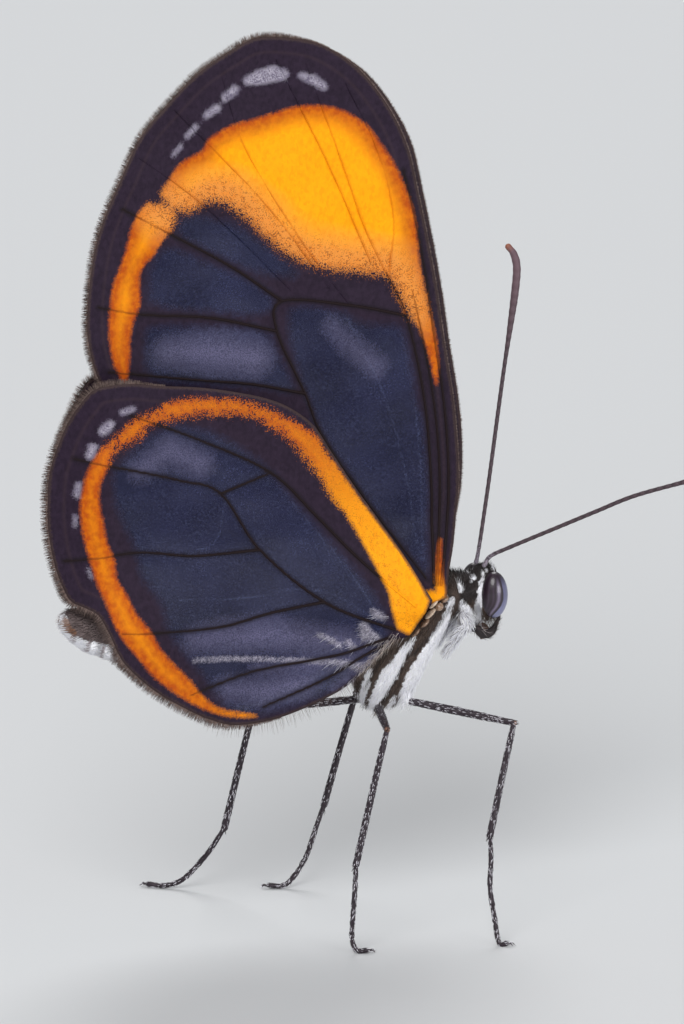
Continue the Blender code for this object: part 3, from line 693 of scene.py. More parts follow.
class Rig(Nodes):
    """A Geometry Nodes tree with named inputs, used on one object after another."""

    def __init__(self, name, inputs):
        super().__init__(bpy.data.node_groups.new(name, "GeometryNodeTree"))
        sockets = self.tree.interface
        sockets.new_socket("Geometry", in_out="INPUT", socket_type="NodeSocketGeometry")
        sockets.new_socket("Geometry", in_out="OUTPUT", socket_type="NodeSocketGeometry")
        self.ids = {}
        for label, (kind, default) in inputs.items():
            made = sockets.new_socket(label, in_out="INPUT", socket_type="NodeSocket" + kind)
            if default is not None:
                made.default_value = default
            self.ids[label] = made.identifier
        self.group = self.add("NodeGroupInput")

    def input(self, name):
        return self.group.beside(name)

    def named(self, name, kind="FLOAT"):
        settings = {"data_type": kind}
        return self.add("GeometryNodeInputNamedAttribute", settings, {"Name": name})

    def store(self, geometry, name, value, kind="FLOAT", domain="POINT"):
        settings = {"data_type": kind, "domain": domain}
        sockets = {"Geometry": geometry, "Name": name, "Value": value}
        return self.add("GeometryNodeStoreNamedAttribute", settings, sockets)

    def vector(self, operation, *values, out=0):
        return self.add("ShaderNodeVectorMath", {"operation": operation}, dict(enumerate(values)), out)

    def scaled(self, vector, by):
        sockets = {0: vector, "Scale": by}
        return self.add("ShaderNodeVectorMath", {"operation": "SCALE"}, sockets)

    def end(self, geometry):
        realized = self.add("GeometryNodeRealizeInstances", None, {"Geometry": geometry})
        finished = self.add(
            "GeometryNodeSetMaterial", None, {"Geometry": realized, "Material": self.input("Material")}
        )
        self.add("NodeGroupOutput", None, {"Geometry": finished})

    def run(self, obj, material, **values):
        """Puts the tree on the object with these inputs and keeps what it makes as a plain mesh."""
        modifier = obj.modifiers.new(self.tree.name, "NODES")
        modifier.node_group = self.tree
        modifier[self.ids["Material"]] = material
        for key, value in values.items():
            modifier[self.ids[key.replace("_", " ")]] = value
        return settle(obj)


def tube_rig():
    """Round tubes along loose edges, as thick at each point as its own radius."""
    rig = Rig("Tubes", {"Thickness": ("Float", 1.0), "Sides": ("Int", 8), "Material": ("Material", None)})
    path = rig.add("GeometryNodeMeshToCurve", None, {"Mesh": rig.input("Geometry")})
    sockets = {"Resolution": rig.input("Sides"), "Radius": 1.0}
    ring = rig.add("GeometryNodeCurvePrimitiveCircle", None, sockets)
    sockets = {
        "Curve": path, "Profile Curve": ring, "Scale": rig.named("radius") * rig.input("Thickness"),
        "Fill Caps": True,
    }
    tube = rig.add("GeometryNodeCurveToMesh", None, sockets)
    smooth = rig.add("GeometryNodeSetShadeSmooth", None, {"Geometry": tube, "Shade Smooth": True})
    rig.end(smooth)
    return rig


def tuft_roots(rig, on_edges):
    """Where tufts grow: evenly along an edge, or strewn over a skin with a least distance."""
    spacing = rig.input("Spacing")
    if on_edges:
        path = rig.add("GeometryNodeMeshToCurve", None, {"Mesh": rig.input("Geometry")})
        sockets = {"Curve": path, "Length": spacing}
        return rig.add("GeometryNodeResampleCurve", {"mode": "LENGTH"}, sockets)
    sockets = {
        "Mesh": rig.input("Geometry"), "Distance Min": spacing,
        "Density Max": rig.maths("DIVIDE", 4.0, spacing * spacing),
        "Density Factor": rig.named("cover"), "Seed": rig.input("Seed"),
    }
    return rig.add("GeometryNodeDistributePointsOnFaces", {"distribute_method": "POISSON"}, sockets)


def tuft_blade(rig):
    """A blade that tapers and bends over, with each point's place on its patch of the unwrap."""
    sockets = {
        "Vertices": 3, "Side Segments": rig.input("Segments"), "Radius Top": 0.08,
        "Radius Bottom": 0.5, "Depth": 1.0,
    }
    blade = rig.add("GeometryNodeMeshCone", {"fill_type": "NGON"}, sockets)
    at = rig.add("GeometryNodeInputPosition")
    parts = rig.add("ShaderNodeSeparateXYZ", None, {"Vector": at})
    x, y, z = parts, parts.beside("Y"), parts.beside("Z")
    belly = 0.75 + z * (1 - z) * 1.6
    flat = y * rig.input("Flatness") - z * z * rig.input("Bend")
    bent = rig.add("ShaderNodeCombineXYZ", None, {"X": x * belly, "Y": flat, "Z": z})
    shaped = rig.add("GeometryNodeSetPosition", None, {"Geometry": blade, "Position": bent})
    place_on_patch = rig.add("ShaderNodeCombineXYZ", None, {"X": x + 0.5, "Y": z})
    return rig.store(shaped, "tuft_place", place_on_patch, "FLOAT_VECTOR")


def tuft_rig(name, on_edges):
    """Thin tapered blades on a skin or along an edge, each turned along its own lie."""
    rig = Rig(name, {
        "Spacing": ("Float", 0.0001), "Width": ("Float", 0.00005), "Lift": ("Float", 0.3),
        "Disorder": ("Float", 0.15), "Bend": ("Float", 0.2), "Flatness": ("Float", 0.35),
        "Segments": ("Int", 2), "Seed": ("Int", 1), "Material": ("Material", None),
    })
    roots, shaped = tuft_roots(rig, on_edges), tuft_blade(rig)
    random_vector = rig.add(
        "FunctionNodeRandomValue", {"data_type": "FLOAT_VECTOR"},
        {0: (-1, -1, -1), 1: (1, 1, 1), "Seed": rig.input("Seed")},
    )
    up = rig.named("up", "FLOAT_VECTOR")
    raised = rig.vector("ADD", rig.named("lie", "FLOAT_VECTOR"), rig.scaled(up, rig.input("Lift")))
    strayed = rig.vector("ADD", raised, rig.scaled(random_vector, rig.input("Disorder")))
    turn = rig.add(
        "FunctionNodeAxesToRotation", {"primary_axis": "Z", "secondary_axis": "Y"},
        {"Primary Axis": strayed, "Secondary Axis": up},
    )
    random_size = rig.add(
        "FunctionNodeRandomValue", {"data_type": "FLOAT"},
        {2: 0.7, 3: 1.25, "Seed": rig.input("Seed") + 7}, out=1,
    )
    across = rig.input("Width") * random_size
    size = rig.add(
        "ShaderNodeCombineXYZ", None, {"X": across, "Y": across, "Z": rig.named("long") * random_size}
    )
    tufts = rig.add(
        "GeometryNodeInstanceOnPoints", None,
        {"Points": roots, "Instance": shaped, "Rotation": turn, "Scale": size},
    )
    random_tone = rig.add(
        "FunctionNodeRandomValue", {"data_type": "FLOAT"}, {"Seed": rig.input("Seed") + 13}, out=1
    )
    toned = rig.store(tufts, "tone", random_tone, domain="INSTANCE")
    realized = rig.add("GeometryNodeRealizeInstances", None, {"Geometry": toned})
    patch = rig.vector(
        "ADD", rig.named("root_place", "FLOAT_VECTOR"),
        rig.scaled(rig.named("tuft_place", "FLOAT_VECTOR"), TUFT_PATCH),
    )
    mapped = rig.store(realized, "OFBake", patch, "FLOAT2", "CORNER")
    smooth = rig.add("GeometryNodeSetShadeSmooth", None, {"Geometry": mapped, "Shade Smooth": True})
    rig.end(smooth)
    return rig


def dress(name, skin, rig, material, slot, cover="cover", **values):
    """A coat of tufts over a skin or the part of it named by cover, as a piece of its own."""
    coat = add_object(name, skin.data.copy())
    if cover != "cover":
        coat.data.attributes[cover].name = "cover"
    if "OFBake" in coat.data.uv_layers:
        keep_root_places(coat.data)
    rig.run(coat, material, **values)
    tidy_attributes(coat.data)
    declare(coat, slot)
    return coat


def keep_root_places(mesh):
    """Each corner's place on the unwrap, as the vector that a tuft growing there starts from."""
    places = np.empty(len(mesh.loops) * 2, np.float32)
    mesh.uv_layers["OFBake"].data.foreach_get("uv", places)
    places = np.column_stack([places.reshape(-1, 2), np.zeros(len(mesh.loops))]).astype(np.float32)
    layer = mesh.attributes.new("root_place", "FLOAT_VECTOR", "CORNER")
    layer.data.foreach_set("vector", places.ravel())
    mesh.uv_layers.remove(mesh.uv_layers["OFBake"])


def tidy_attributes(mesh):
    used_up = ("lie", "up", "long", "root_place", "tuft_place", "radius")
    for name in [a.name for a in mesh.attributes]:
        if name in used_up or name.startswith("cover"):
            mesh.attributes.remove(mesh.attributes[name])


# Wings

WING_KINDS = {
    "forewing": {
        "face": forewing_face, "edge": FOREWING_EDGE, "veins": FOREWING_VEINS,
        "rays": FOREWING_RAYS, "orange": FOREWING_ORANGE, "orange_strokes": FOREWING_ORANGE_STROKES,
        "speckled": FOREWING_SPECKLED, "white": FOREWING_WHITE, "clear": FOREWING_CLEAR,
        "painted_sheen": FOREWING_PAINTED_SHEEN, "silk": (), "folds": FOREWING_FOLDS,
    },
    "hindwing": {
        "face": hindwing_face, "edge": HINDWING_EDGE + HINDWING_ROOT, "veins": HINDWING_VEINS,
        "rays": (), "orange": HINDWING_ORANGE, "orange_strokes": (),
        "speckled": HINDWING_SPECKLED, "white": HINDWING_WHITE, "clear": HINDWING_CLEAR,
        "painted_sheen": HINDWING_PAINTED_SHEEN, "silk": HINDWING_SILK, "folds": HINDWING_FOLDS,
    },
}
NOWHERE = -9.0  # millimetres inside a marking that a wing doesn't have
ORANGE_ROOT = (409, 634)  # pixel of the orange's point at the hindwing's root
FUR_MIDDLE = (388, 634)  # pixel in the middle of the hindwing's silvery fur
FUR_SOURCE = (425, 612)  # pixel that the fur's hairs point away from
RAY_STRENGTH, VEIN_TAPER = 0.55, 0.55  # a fine vein's share of a main one's radius, and its thinning


class WingPlan:
    """One kind of wing in its own plane: outline, veins, markings and painted sheen, in millimetres."""

    def __init__(self, kind):
        drawn = WING_KINDS[kind]
        self.face = drawn["face"]
        self.kind = kind
        self.outline = curve_through(on_wing(drawn["edge"], self.face), 0.12)
        self.veins = [self.line(v) for v in drawn["veins"]]
        self.rays = [self.line(v) for v in drawn["rays"]]
        self.folds = [self.line(v) for v in drawn["folds"]]
        self.speckled = self.line(drawn["speckled"])
        self.orange = [self.line(v) for v in drawn["orange"]]
        self.clear = [self.line(v) for v in drawn["clear"]]
        self.strokes = {key: drawn[key] for key in ("white", "painted_sheen", "silk", "orange_strokes")}

    def line(self, pixels):
        return curve_through(on_wing(pixels, self.face), 0.3)

    def nearest(self, points, lines):
        found = [line_distance(points, line) for line in lines]
        return np.min(found, axis=0) if found else np.full(len(points), -NOWHERE)

    def stroke(self, points, key):
        found = [wing_stroke(points, s, self.face) for s in self.strokes[key]]
        return np.max(found, axis=0) if found else np.full(len(points), NOWHERE)

    def markings(self, points):
        """Each marking, and the painted sheen, as a distance from its edge, above 0 inside it."""
        orange = np.max([within(points, o) for o in self.orange], axis=0)
        from_root = np.hypot(*(points - on_wing([ORANGE_ROOT], self.face)).T)
        along = (points - on_wing([ORANGE_ROOT], self.face)) @ np.array((-0.45, 0.89))
        behind = self.kind == "hindwing"
        near = ease(((11.0 if behind else 3.2) - from_root) / (8.0 if behind else 1.6))
        near *= ease((along + 0.5) / 0.6)
        return {
            "margin": within(points, self.outline),
            "root": ease((2.6 - np.hypot(*(points - on_wing([FUR_MIDDLE], self.face)).T)) / 0.9),
            "bright": np.maximum(ease(orange / 1.1), near),
            "near": near,
            "dusty": np.full(len(points), 0.1 if behind else 1.0),
            "orange": np.maximum(orange, self.stroke(points, "orange_strokes")),
            "speckled": self.nearest(points, [self.speckled]),
            "white": self.stroke(points, "white"),
            "painted_sheen": self.stroke(points, "painted_sheen"),
            "silk": self.stroke(points, "silk"),
            "clear": np.max([within(points, c) for c in self.clear], axis=0),
            "vein": self.nearest(points, self.veins),
            "ray": self.nearest(points, self.rays),
            "fold": self.nearest(points, self.folds),
        }

    def sheet(self, step=0.15):
        """Points and triangles over the wing's plane."""
        low, high = self.outline.min(0), self.outline.max(0)
        rows = []
        for row, z in enumerate(np.arange(low[1], high[1], step * 0.87)):
            x = np.arange(low[0] + (row % 2) * step / 2, high[0], step)
            rows.append(np.stack([x, np.full(len(x), z)], axis=1))
        inner = np.vstack(rows)
        inner = inner[within(inner, self.outline) > 0.5 * step]
        points = [Vector(p) for p in np.vstack([self.outline, inner])]
        outline = [list(range(len(self.outline)))]
        found = delaunay_2d_cdt(points, [], outline, 1, 1e-4)
        return np.array([tuple(p) for p in found[0]]), found[2]

    def relief(self, points, vein_distance):
        """How far the membrane stands out: it sags a little between the veins and is gently waved."""
        sag = 1 - np.exp(-np.minimum(vein_distance, 2.0) / 0.7)
        x, z = points.T
        waves = 0.03 * np.sin(1.3 * x + 0.7 * z) + 0.02 * np.sin(2.3 * z - 1.1 * x)
        return 0.09 - 0.05 * sag + waves * ease(vein_distance)

    def surface(self, points, side, vein_distance, lift=0.0):
        """The wing's place in the animal, on this side of the body."""
        x, z = points.T
        y = side * (self.face(x, z) + 0.03 + self.relief(points, vein_distance) + lift)
        shift = ease(np.hypot(x - WING_ROOT[0], z - WING_ROOT[1]) / FAR_REACH) * (side > 0)
        return np.stack([x + shift * FAR_FORWARD, y, z - shift * FAR_LOWER], axis=1)


def wing_material(colours):
    """Scales, clear membrane, every marking and a painted sheen of reflected light on the membrane, each
    from its distance on the wing.
    """
    material, n = new_material("wing_scales")
    fine, mid, broad = n.grain(0.05, 1.0), n.grain(0.22, 2.0), n.grain(2.6, 2.0)
    dust = n.grain(0.06, 0.0)
    scales = n.shingle(0.1, (1.0, 1.0, 0.55))
    hue = n.add("ShaderNodeSeparateColor", None, {"Color": scales.beside("Color")})
    ragged = 0.2 + (0.7 - n.attribute("speckled")).edge(1.2) * 1.5 * (1 - n.attribute("near"))
    orange = n.attribute("orange") + (mid * 0.24 + fine * 0.6) * ragged
    is_orange = orange.edge(0.18)
    is_clear = (n.attribute("clear") - 0.06 + mid * 0.22 + fine * 0.25).edge(0.45)
    is_white = (n.attribute("white") + fine * 0.22 + mid * 0.14).edge(0.16)
    # Painted sheen: where light reflects off the clear membrane, which there also hides more of what is
    # behind
    painted_sheen = (n.attribute("painted_sheen") + mid * 0.25 + broad * 0.2).edge(1.1)
    vein = n.attribute("vein")
    on_vein = (0.05 - vein + fine * 0.05).edge(0.06)
    by_vein = (0.1 - vein + mid * 0.08 + fine * 0.08).edge(0.16)
    on_ray = (0.045 - n.attribute("ray") + fine * 0.06).edge(0.06)
    # Painted highlight: a paler line along each fold of the clear membrane, where the pleat catches light
    fold_highlight = (0.03 - n.attribute("fold") + fine * 0.04).edge(0.08)
    at_rim = (0.1 - n.attribute("margin") + fine * 0.12).edge(0.08) * (1 - n.attribute("root"))
    at_inner_line = (0.05 - (n.attribute("margin") - 0.62).size()).edge(0.12)

    dark = n.mix(tuple(colours.dark), srgb(44, 32, 48), (mid * 0.8 + hue * 0.45 - 0.05).edge(1.2))
    dark = n.mix(dark, srgb(66, 50, 54), at_inner_line * 0.3)
    clear = n.mix(tuple(colours.membrane_colour), srgb(42, 44, 72), (broad * 1.6 + mid * 0.4).edge(1.2))
    clear = n.mix(clear, srgb(92, 100, 134), (dust - 0.24).edge(0.12) * 0.16)
    clear = n.mix(clear, srgb(10, 11, 18), (0 - dust - 0.26).edge(0.1) * 0.3)
    clear = n.mix(clear, srgb(84, 92, 124), fold_highlight * 0.3)
    # Painted sheen: a pale reflection mixed into the clear membrane's colour
    clear = n.mix(clear, srgb(122, 118, 150), painted_sheen * (0.22 + fine.edge(0.5) * 0.4))
    silky = (n.attribute("silk") + mid * 0.08 + fine * 0.12).edge(0.2)
    clear = n.mix(clear, srgb(196, 190, 204), silky * (0.35 + fine.edge(0.4) * 0.4))
    base = n.mix(dark, clear, is_clear)
    base = n.mix(base, srgb(20, 14, 19), by_vein * 0.75)
    base = n.mix(base, srgb(30, 20, 22), on_vein)
    pale = (1.25 - n.attribute("speckled") + broad * 0.5).edge(1.1) * n.attribute("dusty")
    glow = n.mix(srgb(176, 76, 10), tuple(colours.orange), n.attribute("bright") + mid * 0.3)
    glow = n.mix(glow, srgb(224, 142, 64), pale * 0.85)
    glow = n.mix(glow, srgb(222, 116, 4), (hue * 0.6 + mid - 0.4).edge(0.5) * 0.3)
    flecks = (fine + mid * 0.5 - 0.15).edge(0.12) * (0.95 - n.attribute("speckled")).edge(1.2)
    glow = n.mix(glow, srgb(110, 60, 32), flecks * (0.3 + n.attribute("dusty") * 0.5))
    glow = n.mix(glow, srgb(190, 98, 8), on_ray * 0.35)
    glow = n.mix(glow, srgb(120, 58, 14), on_vein * (1 - n.attribute("bright")) * 0.8)
    base = n.mix(base, glow, is_orange)
    spot = n.mix(srgb(178, 172, 186), srgb(104, 96, 116), (fine + mid * 0.5).edge(0.5))
    base = n.mix(base, spot, is_white * 0.85)
    base = n.mix(base, srgb(70, 56, 53), at_rim * 0.7)
    seen_through = is_clear * (1 - is_orange) * (1 - by_vein * 0.8) * (1 - painted_sheen * 0.5)
    height = hue * 0.5 + fine * 0.6 + mid * 0.35 * is_clear
    n.surface(
        Base_Color=base, Roughness=0.62 - seen_through * 0.22 + fine * 0.08, Specular_IOR_Level=0.12,
        Alpha=1 - seen_through * (1 - colours.membrane_cover), Normal=n.bump(height, 0.012, 0.7),
    )
    return material


def fringe_material():
    material, n = new_material("wing_fringe")
    tone = n.attribute("tone")
    base = n.mix(srgb(70, 56, 54), srgb(150, 130, 122), tone * 0.8 + n.grain(0.6) * 0.5)
    n.surface(Base_Color=base, Roughness=0.75, Specular_IOR_Level=0.2)
    return material


def fur_material():
    """Silvery hair of the hindwing's root, beige where it is near the body."""
    material, n = new_material("silver_hair")
    tone = n.attribute("tone")
    silver = n.mix(srgb(112, 108, 126), srgb(240, 238, 248), tone * tone)
    beige = n.mix(srgb(112, 92, 80), srgb(232, 218, 204), tone)
    n.surface(
        Base_Color=n.mix(silver, beige, (n.attribute("beige") + n.grain(0.2) * 0.5).edge(0.5)),
        Roughness=0.5, Specular_IOR_Level=0.3,
    )
    return material


def wing_hair(plan, side, span, long):
    """An edge along part of the outline whose hairs point out of the wing, with their root places."""
    outline, size = plan.outline, np.ptp(plan.outline, axis=0).max()
    start, end = (round(s * (len(outline) - 1)) for s in span)
    picked = outline[start:end + 1]
    along = np.gradient(picked, axis=0)
    out = np.stack([-along[:, 1], along[:, 0]], axis=1)
    out /= np.linalg.norm(out, axis=1)[:, None]
    if within(picked + 0.1 * out, outline).mean() > 0:
        out = -out
    inset = picked - 0.02 * out
    line = plan.surface(inset, side, plan.nearest(inset, plan.veins))
    t = np.linspace(0, 1, len(out))
    flat = (picked - outline.min(0)) / size * 0.98
    return line_object("wing_hair", [line], {
        "lie": [np.stack([out[:, 0], np.zeros(len(out)), out[:, 1]], axis=1)],
        "up": [np.tile((0.0, side, 0.0), (len(out), 1))],
        "long": [long * MM * (0.3 + 0.7 * ease(np.minimum(t, 1 - t) / 0.14))],
        "root_place": [np.column_stack([flat, np.zeros(len(flat))])],
    })


# Spans of each outline, from 0 to 1, and the hairs there: length, spacing, width
WING_HAIRS = {
    "forewing": (
        ("front_cilia", (0.01, 0.42), 0.09, 0.018, 0.04), ("cilia", (0.4, 0.74), 0.25, 0.009, 0.04),
    ),
    "hindwing": (
        ("cilia", (0.34, 0.84), 0.3, 0.009, 0.04), ("down", (0.76, 0.925), 0.55, 0.05, 0.02),
    ),
}


# Fur on the hindwing's root, as strokes in pixels: where it is beige, and where it is silver
FUR_BEIGE = (
    ((391, 634, 3), (386, 645, 6), (380, 655, 7), (370, 665, 6), (360, 675, 4)),
    ((399, 637, 4), (391, 642, 5)),
)
FUR_SILVER = (
    ((372, 611, 1.5), (379, 615, 3), (386, 618, 2)),
    ((362, 624, 3), (366, 634, 5), (376, 638, 4.5)),
    ((345, 641, 1), (353, 648, 1.4)),
    ((318, 633, 0.8), (332, 640, 1), (340, 646, 0.8)),
    ((322, 660, 1), (335, 661, 1.4), (350, 664, 2.2), (364, 667, 3.5)),
    ((342, 688, 1), (354, 679, 2)),
)
FUR_LENGTH, FUR_SPACING, FUR_WIDTH = 0.34, 0.055, 0.03


def make_root_fur(plan, sheet, name, side, material, rig, seed):
    """Short silvery hair over the hindwing's root, lying away from the body."""
    points, triangles = sheet
    beige, silver = (
        np.max([wing_stroke(points, s, plan.face) for s in strokes], axis=0)
        for strokes in (FUR_BEIGE, FUR_SILVER)
    )
    cover = np.clip(0.5 + np.maximum(beige, silver) / 0.12, 0, 1)
    kept = [t for t in triangles if max(cover[i] for i in t) > 0]
    used = sorted({i for t in kept for i in t})
    renumbered = {old: new for new, old in enumerate(used)}
    at = points[used]
    mesh = bpy.data.meshes.new(name)
    places = plan.surface(at, side, plan.nearest(at, plan.veins), 0.02)
    faces = [[renumbered[i] for i in t] for t in kept]
    mesh.from_pydata([tuple(p) for p in places], [], faces)
    ways = at - on_wing([FUR_SOURCE], plan.face)
    ways /= np.linalg.norm(ways, axis=1)[:, None]
    set_attributes(mesh, {
        "lie": np.stack([ways[:, 0], 0 * ways[:, 0], ways[:, 1]], axis=1),
        "up": np.tile((0.0, side, 0.0), (len(at), 1)),
        "long": (FUR_LENGTH * (1 + 0.3 * ease(beige[used] / 0.2))) * MM,
        "cover": cover[used],
        "beige": beige[used],
    })
    flat = (at - at.min(0)) / np.ptp(at, axis=0).max() * 0.98
    corners = np.array([flat[i] for face in faces for i in face], np.float32)
    mesh.uv_layers.new(name="OFBake").data.foreach_set("uv", corners.ravel())
    patch = to_model(add_object(name, mesh))
    keep_root_places(mesh)
    rig.run(
        patch, material, Spacing=FUR_SPACING * MM, Width=FUR_WIDTH * MM, Lift=0.3, Disorder=0.4,
        Bend=0.15, Segments=1, Seed=seed,
    )
    tidy_attributes(patch.data)
    declare(patch, plan.kind)


def make_membrane(plan, sheet, name, side, material, sizes):
    """The wing's sheet, with its faces turned out and every marking and the painted sheen as an attribute.
    """
    points, triangles = sheet
    markings = plan.markings(points)
    mesh = bpy.data.meshes.new(name + "_membrane")
    places = plan.surface(points, side, markings["vein"])
    mesh.from_pydata([tuple(p) for p in places], [], [list(t) for t in triangles])
    shape = bmesh.new()
    shape.from_mesh(mesh)
    bmesh.ops.recalc_face_normals(shape, faces=shape.faces)
    shape.faces.ensure_lookup_table()
    if sum(face.normal.y for face in shape.faces) * side < 0:
        bmesh.ops.reverse_faces(shape, faces=shape.faces)
    shape.to_mesh(mesh)
    shape.free()
    set_attributes(mesh, markings)
    mesh.shade_smooth()
    membrane = to_model(add_object(name + "_membrane", mesh))
    mesh.materials.append(material)
    shell = membrane.modifiers.new("thickness", "SOLIDIFY")
    shell.thickness, shell.offset = sizes.membrane * MM, 0
    settle(membrane)
    declare(membrane, plan.kind, name)


def make_veins(plan, name, side, material, rig, sizes):
    """Tubes along the wing's veins, with its markings and painted sheen, so that they take the colour
    around them.
    """
    lines, radii, painted = [], [], []
    for strength, group in ((1.0, plan.veins), (RAY_STRENGTH, plan.rays)):
        for line in group:
            line = curve_through(line, 0.2)
            line = line[within(line, plan.outline) > 0.05]
            t = np.linspace(0, 1, len(line))
            lines.append(plan.surface(line, side, np.zeros(len(line))))
            radii.append(sizes.vein * strength * (1 - VEIN_TAPER * t) * MM)
            painted.append(plan.markings(line))
    attributes = {key: [p[key] for p in painted] for key in painted[0]}
    veins = to_model(line_object(name + "_veins", lines, {"radius": radii, **attributes}))
    rig.run(veins, material, Sides=8)
    tidy_attributes(veins.data)
    declare(veins, plan.kind, name)


def make_wing(plan, sheet, side_name, side, materials, rigs, sizes):
    """Membrane, veins and fringe of one wing, and the hindwing's fur."""
    name = f"{plan.kind}_{side_name}"
    make_membrane(plan, sheet, name, side, materials["wing"], sizes)
    make_veins(plan, name, side, materials["wing"], rigs["tube"], sizes)
    for label, span, long, spacing, width in WING_HAIRS[plan.kind]:
        hair = to_model(wing_hair(plan, side, span, long))
        hair.name = f"{name}_{label}"
        rigs["edge"].run(
            hair, materials["fringe"], Spacing=spacing * MM, Width=width * MM, Lift=0.0,
            Disorder=0.16, Bend=0.05, Flatness=0.5, Segments=1, Seed=sizes.seed,
        )
        tidy_attributes(hair.data)
        declare(hair, plan.kind)
    if plan.kind == "hindwing":
        make_root_fur(plan, sheet, name + "_fur", side, materials["fur"], rigs["fur"], sizes.seed)


# Body

def thorax_section(x):
    columns = np.array(THORAX_SECTIONS).T
    return [float(np.interp(x, columns[0], columns[i])) for i in (1, 2, 3)]


def loft(shape, sections, sides):
    """A closed body through upright oval sections, each x, lowest, highest and half width."""
    rings = []
    for x, low, high, half_width in sections:
        ring = []
        for i in range(sides):
            angle = 2 * math.pi * i / sides
            z = (low + high) / 2 + (high - low) / 2 * math.sin(angle)
            ring.append(shape.verts.new((x, half_width * math.cos(angle), z)))
        rings.append(ring)
    for back, front in zip(rings, rings[1:]):
        for i in range(sides):
            j = (i + 1) % sides
            shape.faces.new((back[i], back[j], front[j], front[i]))
    shape.faces.new(rings[0])
    shape.faces.new(rings[-1])


def ball(shape, middle, half_sizes, turn=Matrix.Identity(4), detail=24):
    made = bmesh.ops.create_uvsphere(shape, u_segments=detail, v_segments=detail * 2 // 3, radius=1)
    place = Matrix.Translation(middle) @ turn @ Matrix.Diagonal((*half_sizes, 1))
    bmesh.ops.transform(shape, matrix=place, verts=made["verts"])


def rod(shape, start, end, start_radius, end_radius):
    """A tapered closed rod with a ball at each end."""
    start, end = Vector(start), Vector(end)
    turn = (end - start).to_track_quat("Z", "Y").to_matrix().to_4x4()
    made = bmesh.ops.create_cone(
        shape, cap_ends=True, segments=20, radius1=start_radius, radius2=end_radius,
        depth=(end - start).length,
    )
    place = Matrix.Translation((start + end) / 2) @ turn
    bmesh.ops.transform(shape, matrix=place, verts=made["verts"])
    ball(shape, start, (start_radius,) * 3)
    ball(shape, end, (end_radius,) * 3)


def abdomen_radius(t):
    front = 0.82 + 0.18 * ease(t / 0.2)
    return ABDOMEN_RADIUS * front * np.sqrt(np.clip(1 - np.clip((t - 0.78) / 0.225, 0, None) ** 2, 0, 1))


def abdomen_middle(x):
    axis = curve_through(np.array(ABDOMEN_AXIS), 0.2)[::-1]
    return np.interp(x, axis[:, 0], axis[:, 1])


def make_skin(sizes):
    """Thorax, abdomen and head as one closed skin, inside the solids by the depth of the coat."""
    depth = sizes.coat_depth
    shape = bmesh.new()
    sections = []
    for x, low, high, half_width in curve_through(THORAX_SECTIONS, 0.3):
        x = min(max(x, THORAX_SECTIONS[0][0] + depth), THORAX_SECTIONS[-1][0] - depth)
        sections.append((x, low + depth, high - depth, half_width - depth))
    loft(shape, sections, 40)
    rings = []
    count = 10 * ABDOMEN_SEGMENTS
    for i in range(count + 1):
        t = i / count
        x = ABDOMEN_FRONT + t * (ABDOMEN_TIP + 0.1 - ABDOMEN_FRONT)
        phase = (t * ABDOMEN_SEGMENTS) % 1
        groove = 0.07 * math.exp(-((min(phase, 1 - phase)) / 0.12) ** 2) if i < count else 0
        radius = max(float(abdomen_radius(t)) * (0.93 - groove), 0.09)
        z = float(abdomen_middle(x))
        rings.append((x, z - radius, z + radius, radius * 0.97))
    loft(shape, rings, 32)
    for across, down, depth, radius in ABDOMEN_LOBES:
        ball(shape, from_view(across, down, depth), (radius, radius, radius))
    rod(shape, *WAIST)
    neck_end = tuple(HEAD_MIDDLE - Vector((0.2, 0, 0)))
    rod(shape, NECK_START, neck_end, NECK_START_RADIUS, NECK_END_RADIUS)
    ball(shape, *THROAT)
    face = (HEAD_HALF_LENGTH - 0.03, HEAD_HALF_WIDTH + 0.12, HEAD_HEIGHT / 2 - 0.06)
    turn = Matrix.Rotation(HEAD_TURN, 4, "Z")
    ball(shape, head_place() @ Vector((0, 0, 0.05)), face, turn)
    ball(shape, head_place() @ Vector(BROW_PLACE), BROW, turn)
    for side in (-1, 1):
        ring = (EYE_HALF_LENGTH * EYE_SLIMMING + 0.02, 0.14, EYE_HEIGHT / 2)
        ball(shape, head_place() @ Vector((-0.04, side * (HEAD_HALF_WIDTH + 0.13), 0)), ring, turn)
    for leg in LEGS.values():
        inner, outer = hip_points(leg)
        rod(shape, inner, outer, *HIP_RADII)
    skin = add_object("body_skin", mesh_of(shape, "body_skin"))
    joined = skin.modifiers.new("one_skin", "REMESH")
    joined.mode, joined.voxel_size, joined.use_smooth_shade = "VOXEL", SKIN_VOXEL, True
    smooth = skin.modifiers.new("soften", "SMOOTH")
    smooth.factor, smooth.iterations = 0.5, 4
    settle(skin)
    return skin


def hip_points(leg):
    """Where a leg leaves the thorax, inside and just outside its surface."""
    x, angle = leg["hip"]
    low, high, half_width = thorax_section(x)
    half_height = (high - low) / 2
    cosine, sine = math.cos(math.radians(angle)), math.sin(math.radians(angle))
    outwards = np.array((0, leg["side"] * cosine / half_width, -sine / half_height))
    outwards /= np.linalg.norm(outwards)
    surface = np.array((x, leg["side"] * half_width * cosine, (low + high) / 2 - half_height * sine))
    return surface - 0.5 * outwards, surface + 0.12 * outwards


def right_side(points):
    """The points, or their mirror images, on the right side of the body or of the turned head."""
    place = head_place()
    on_head = points[:, 0] > 3.35
    in_head = moved(points, place.inverted())
    in_head[:, 1] = -np.abs(in_head[:, 1])
    plain = points.copy()
    plain[:, 1] = -np.abs(plain[:, 1])
    return np.where(on_head[:, None], moved(in_head, place), plain)


def drawn_distance(seen, lines):
    """Millimetres from each seen point to the nearest of these lines in pixels."""
    return np.min([line_distance(seen, np.array(a, float)) for a in lines], axis=0) / PIXELS_PER_MM


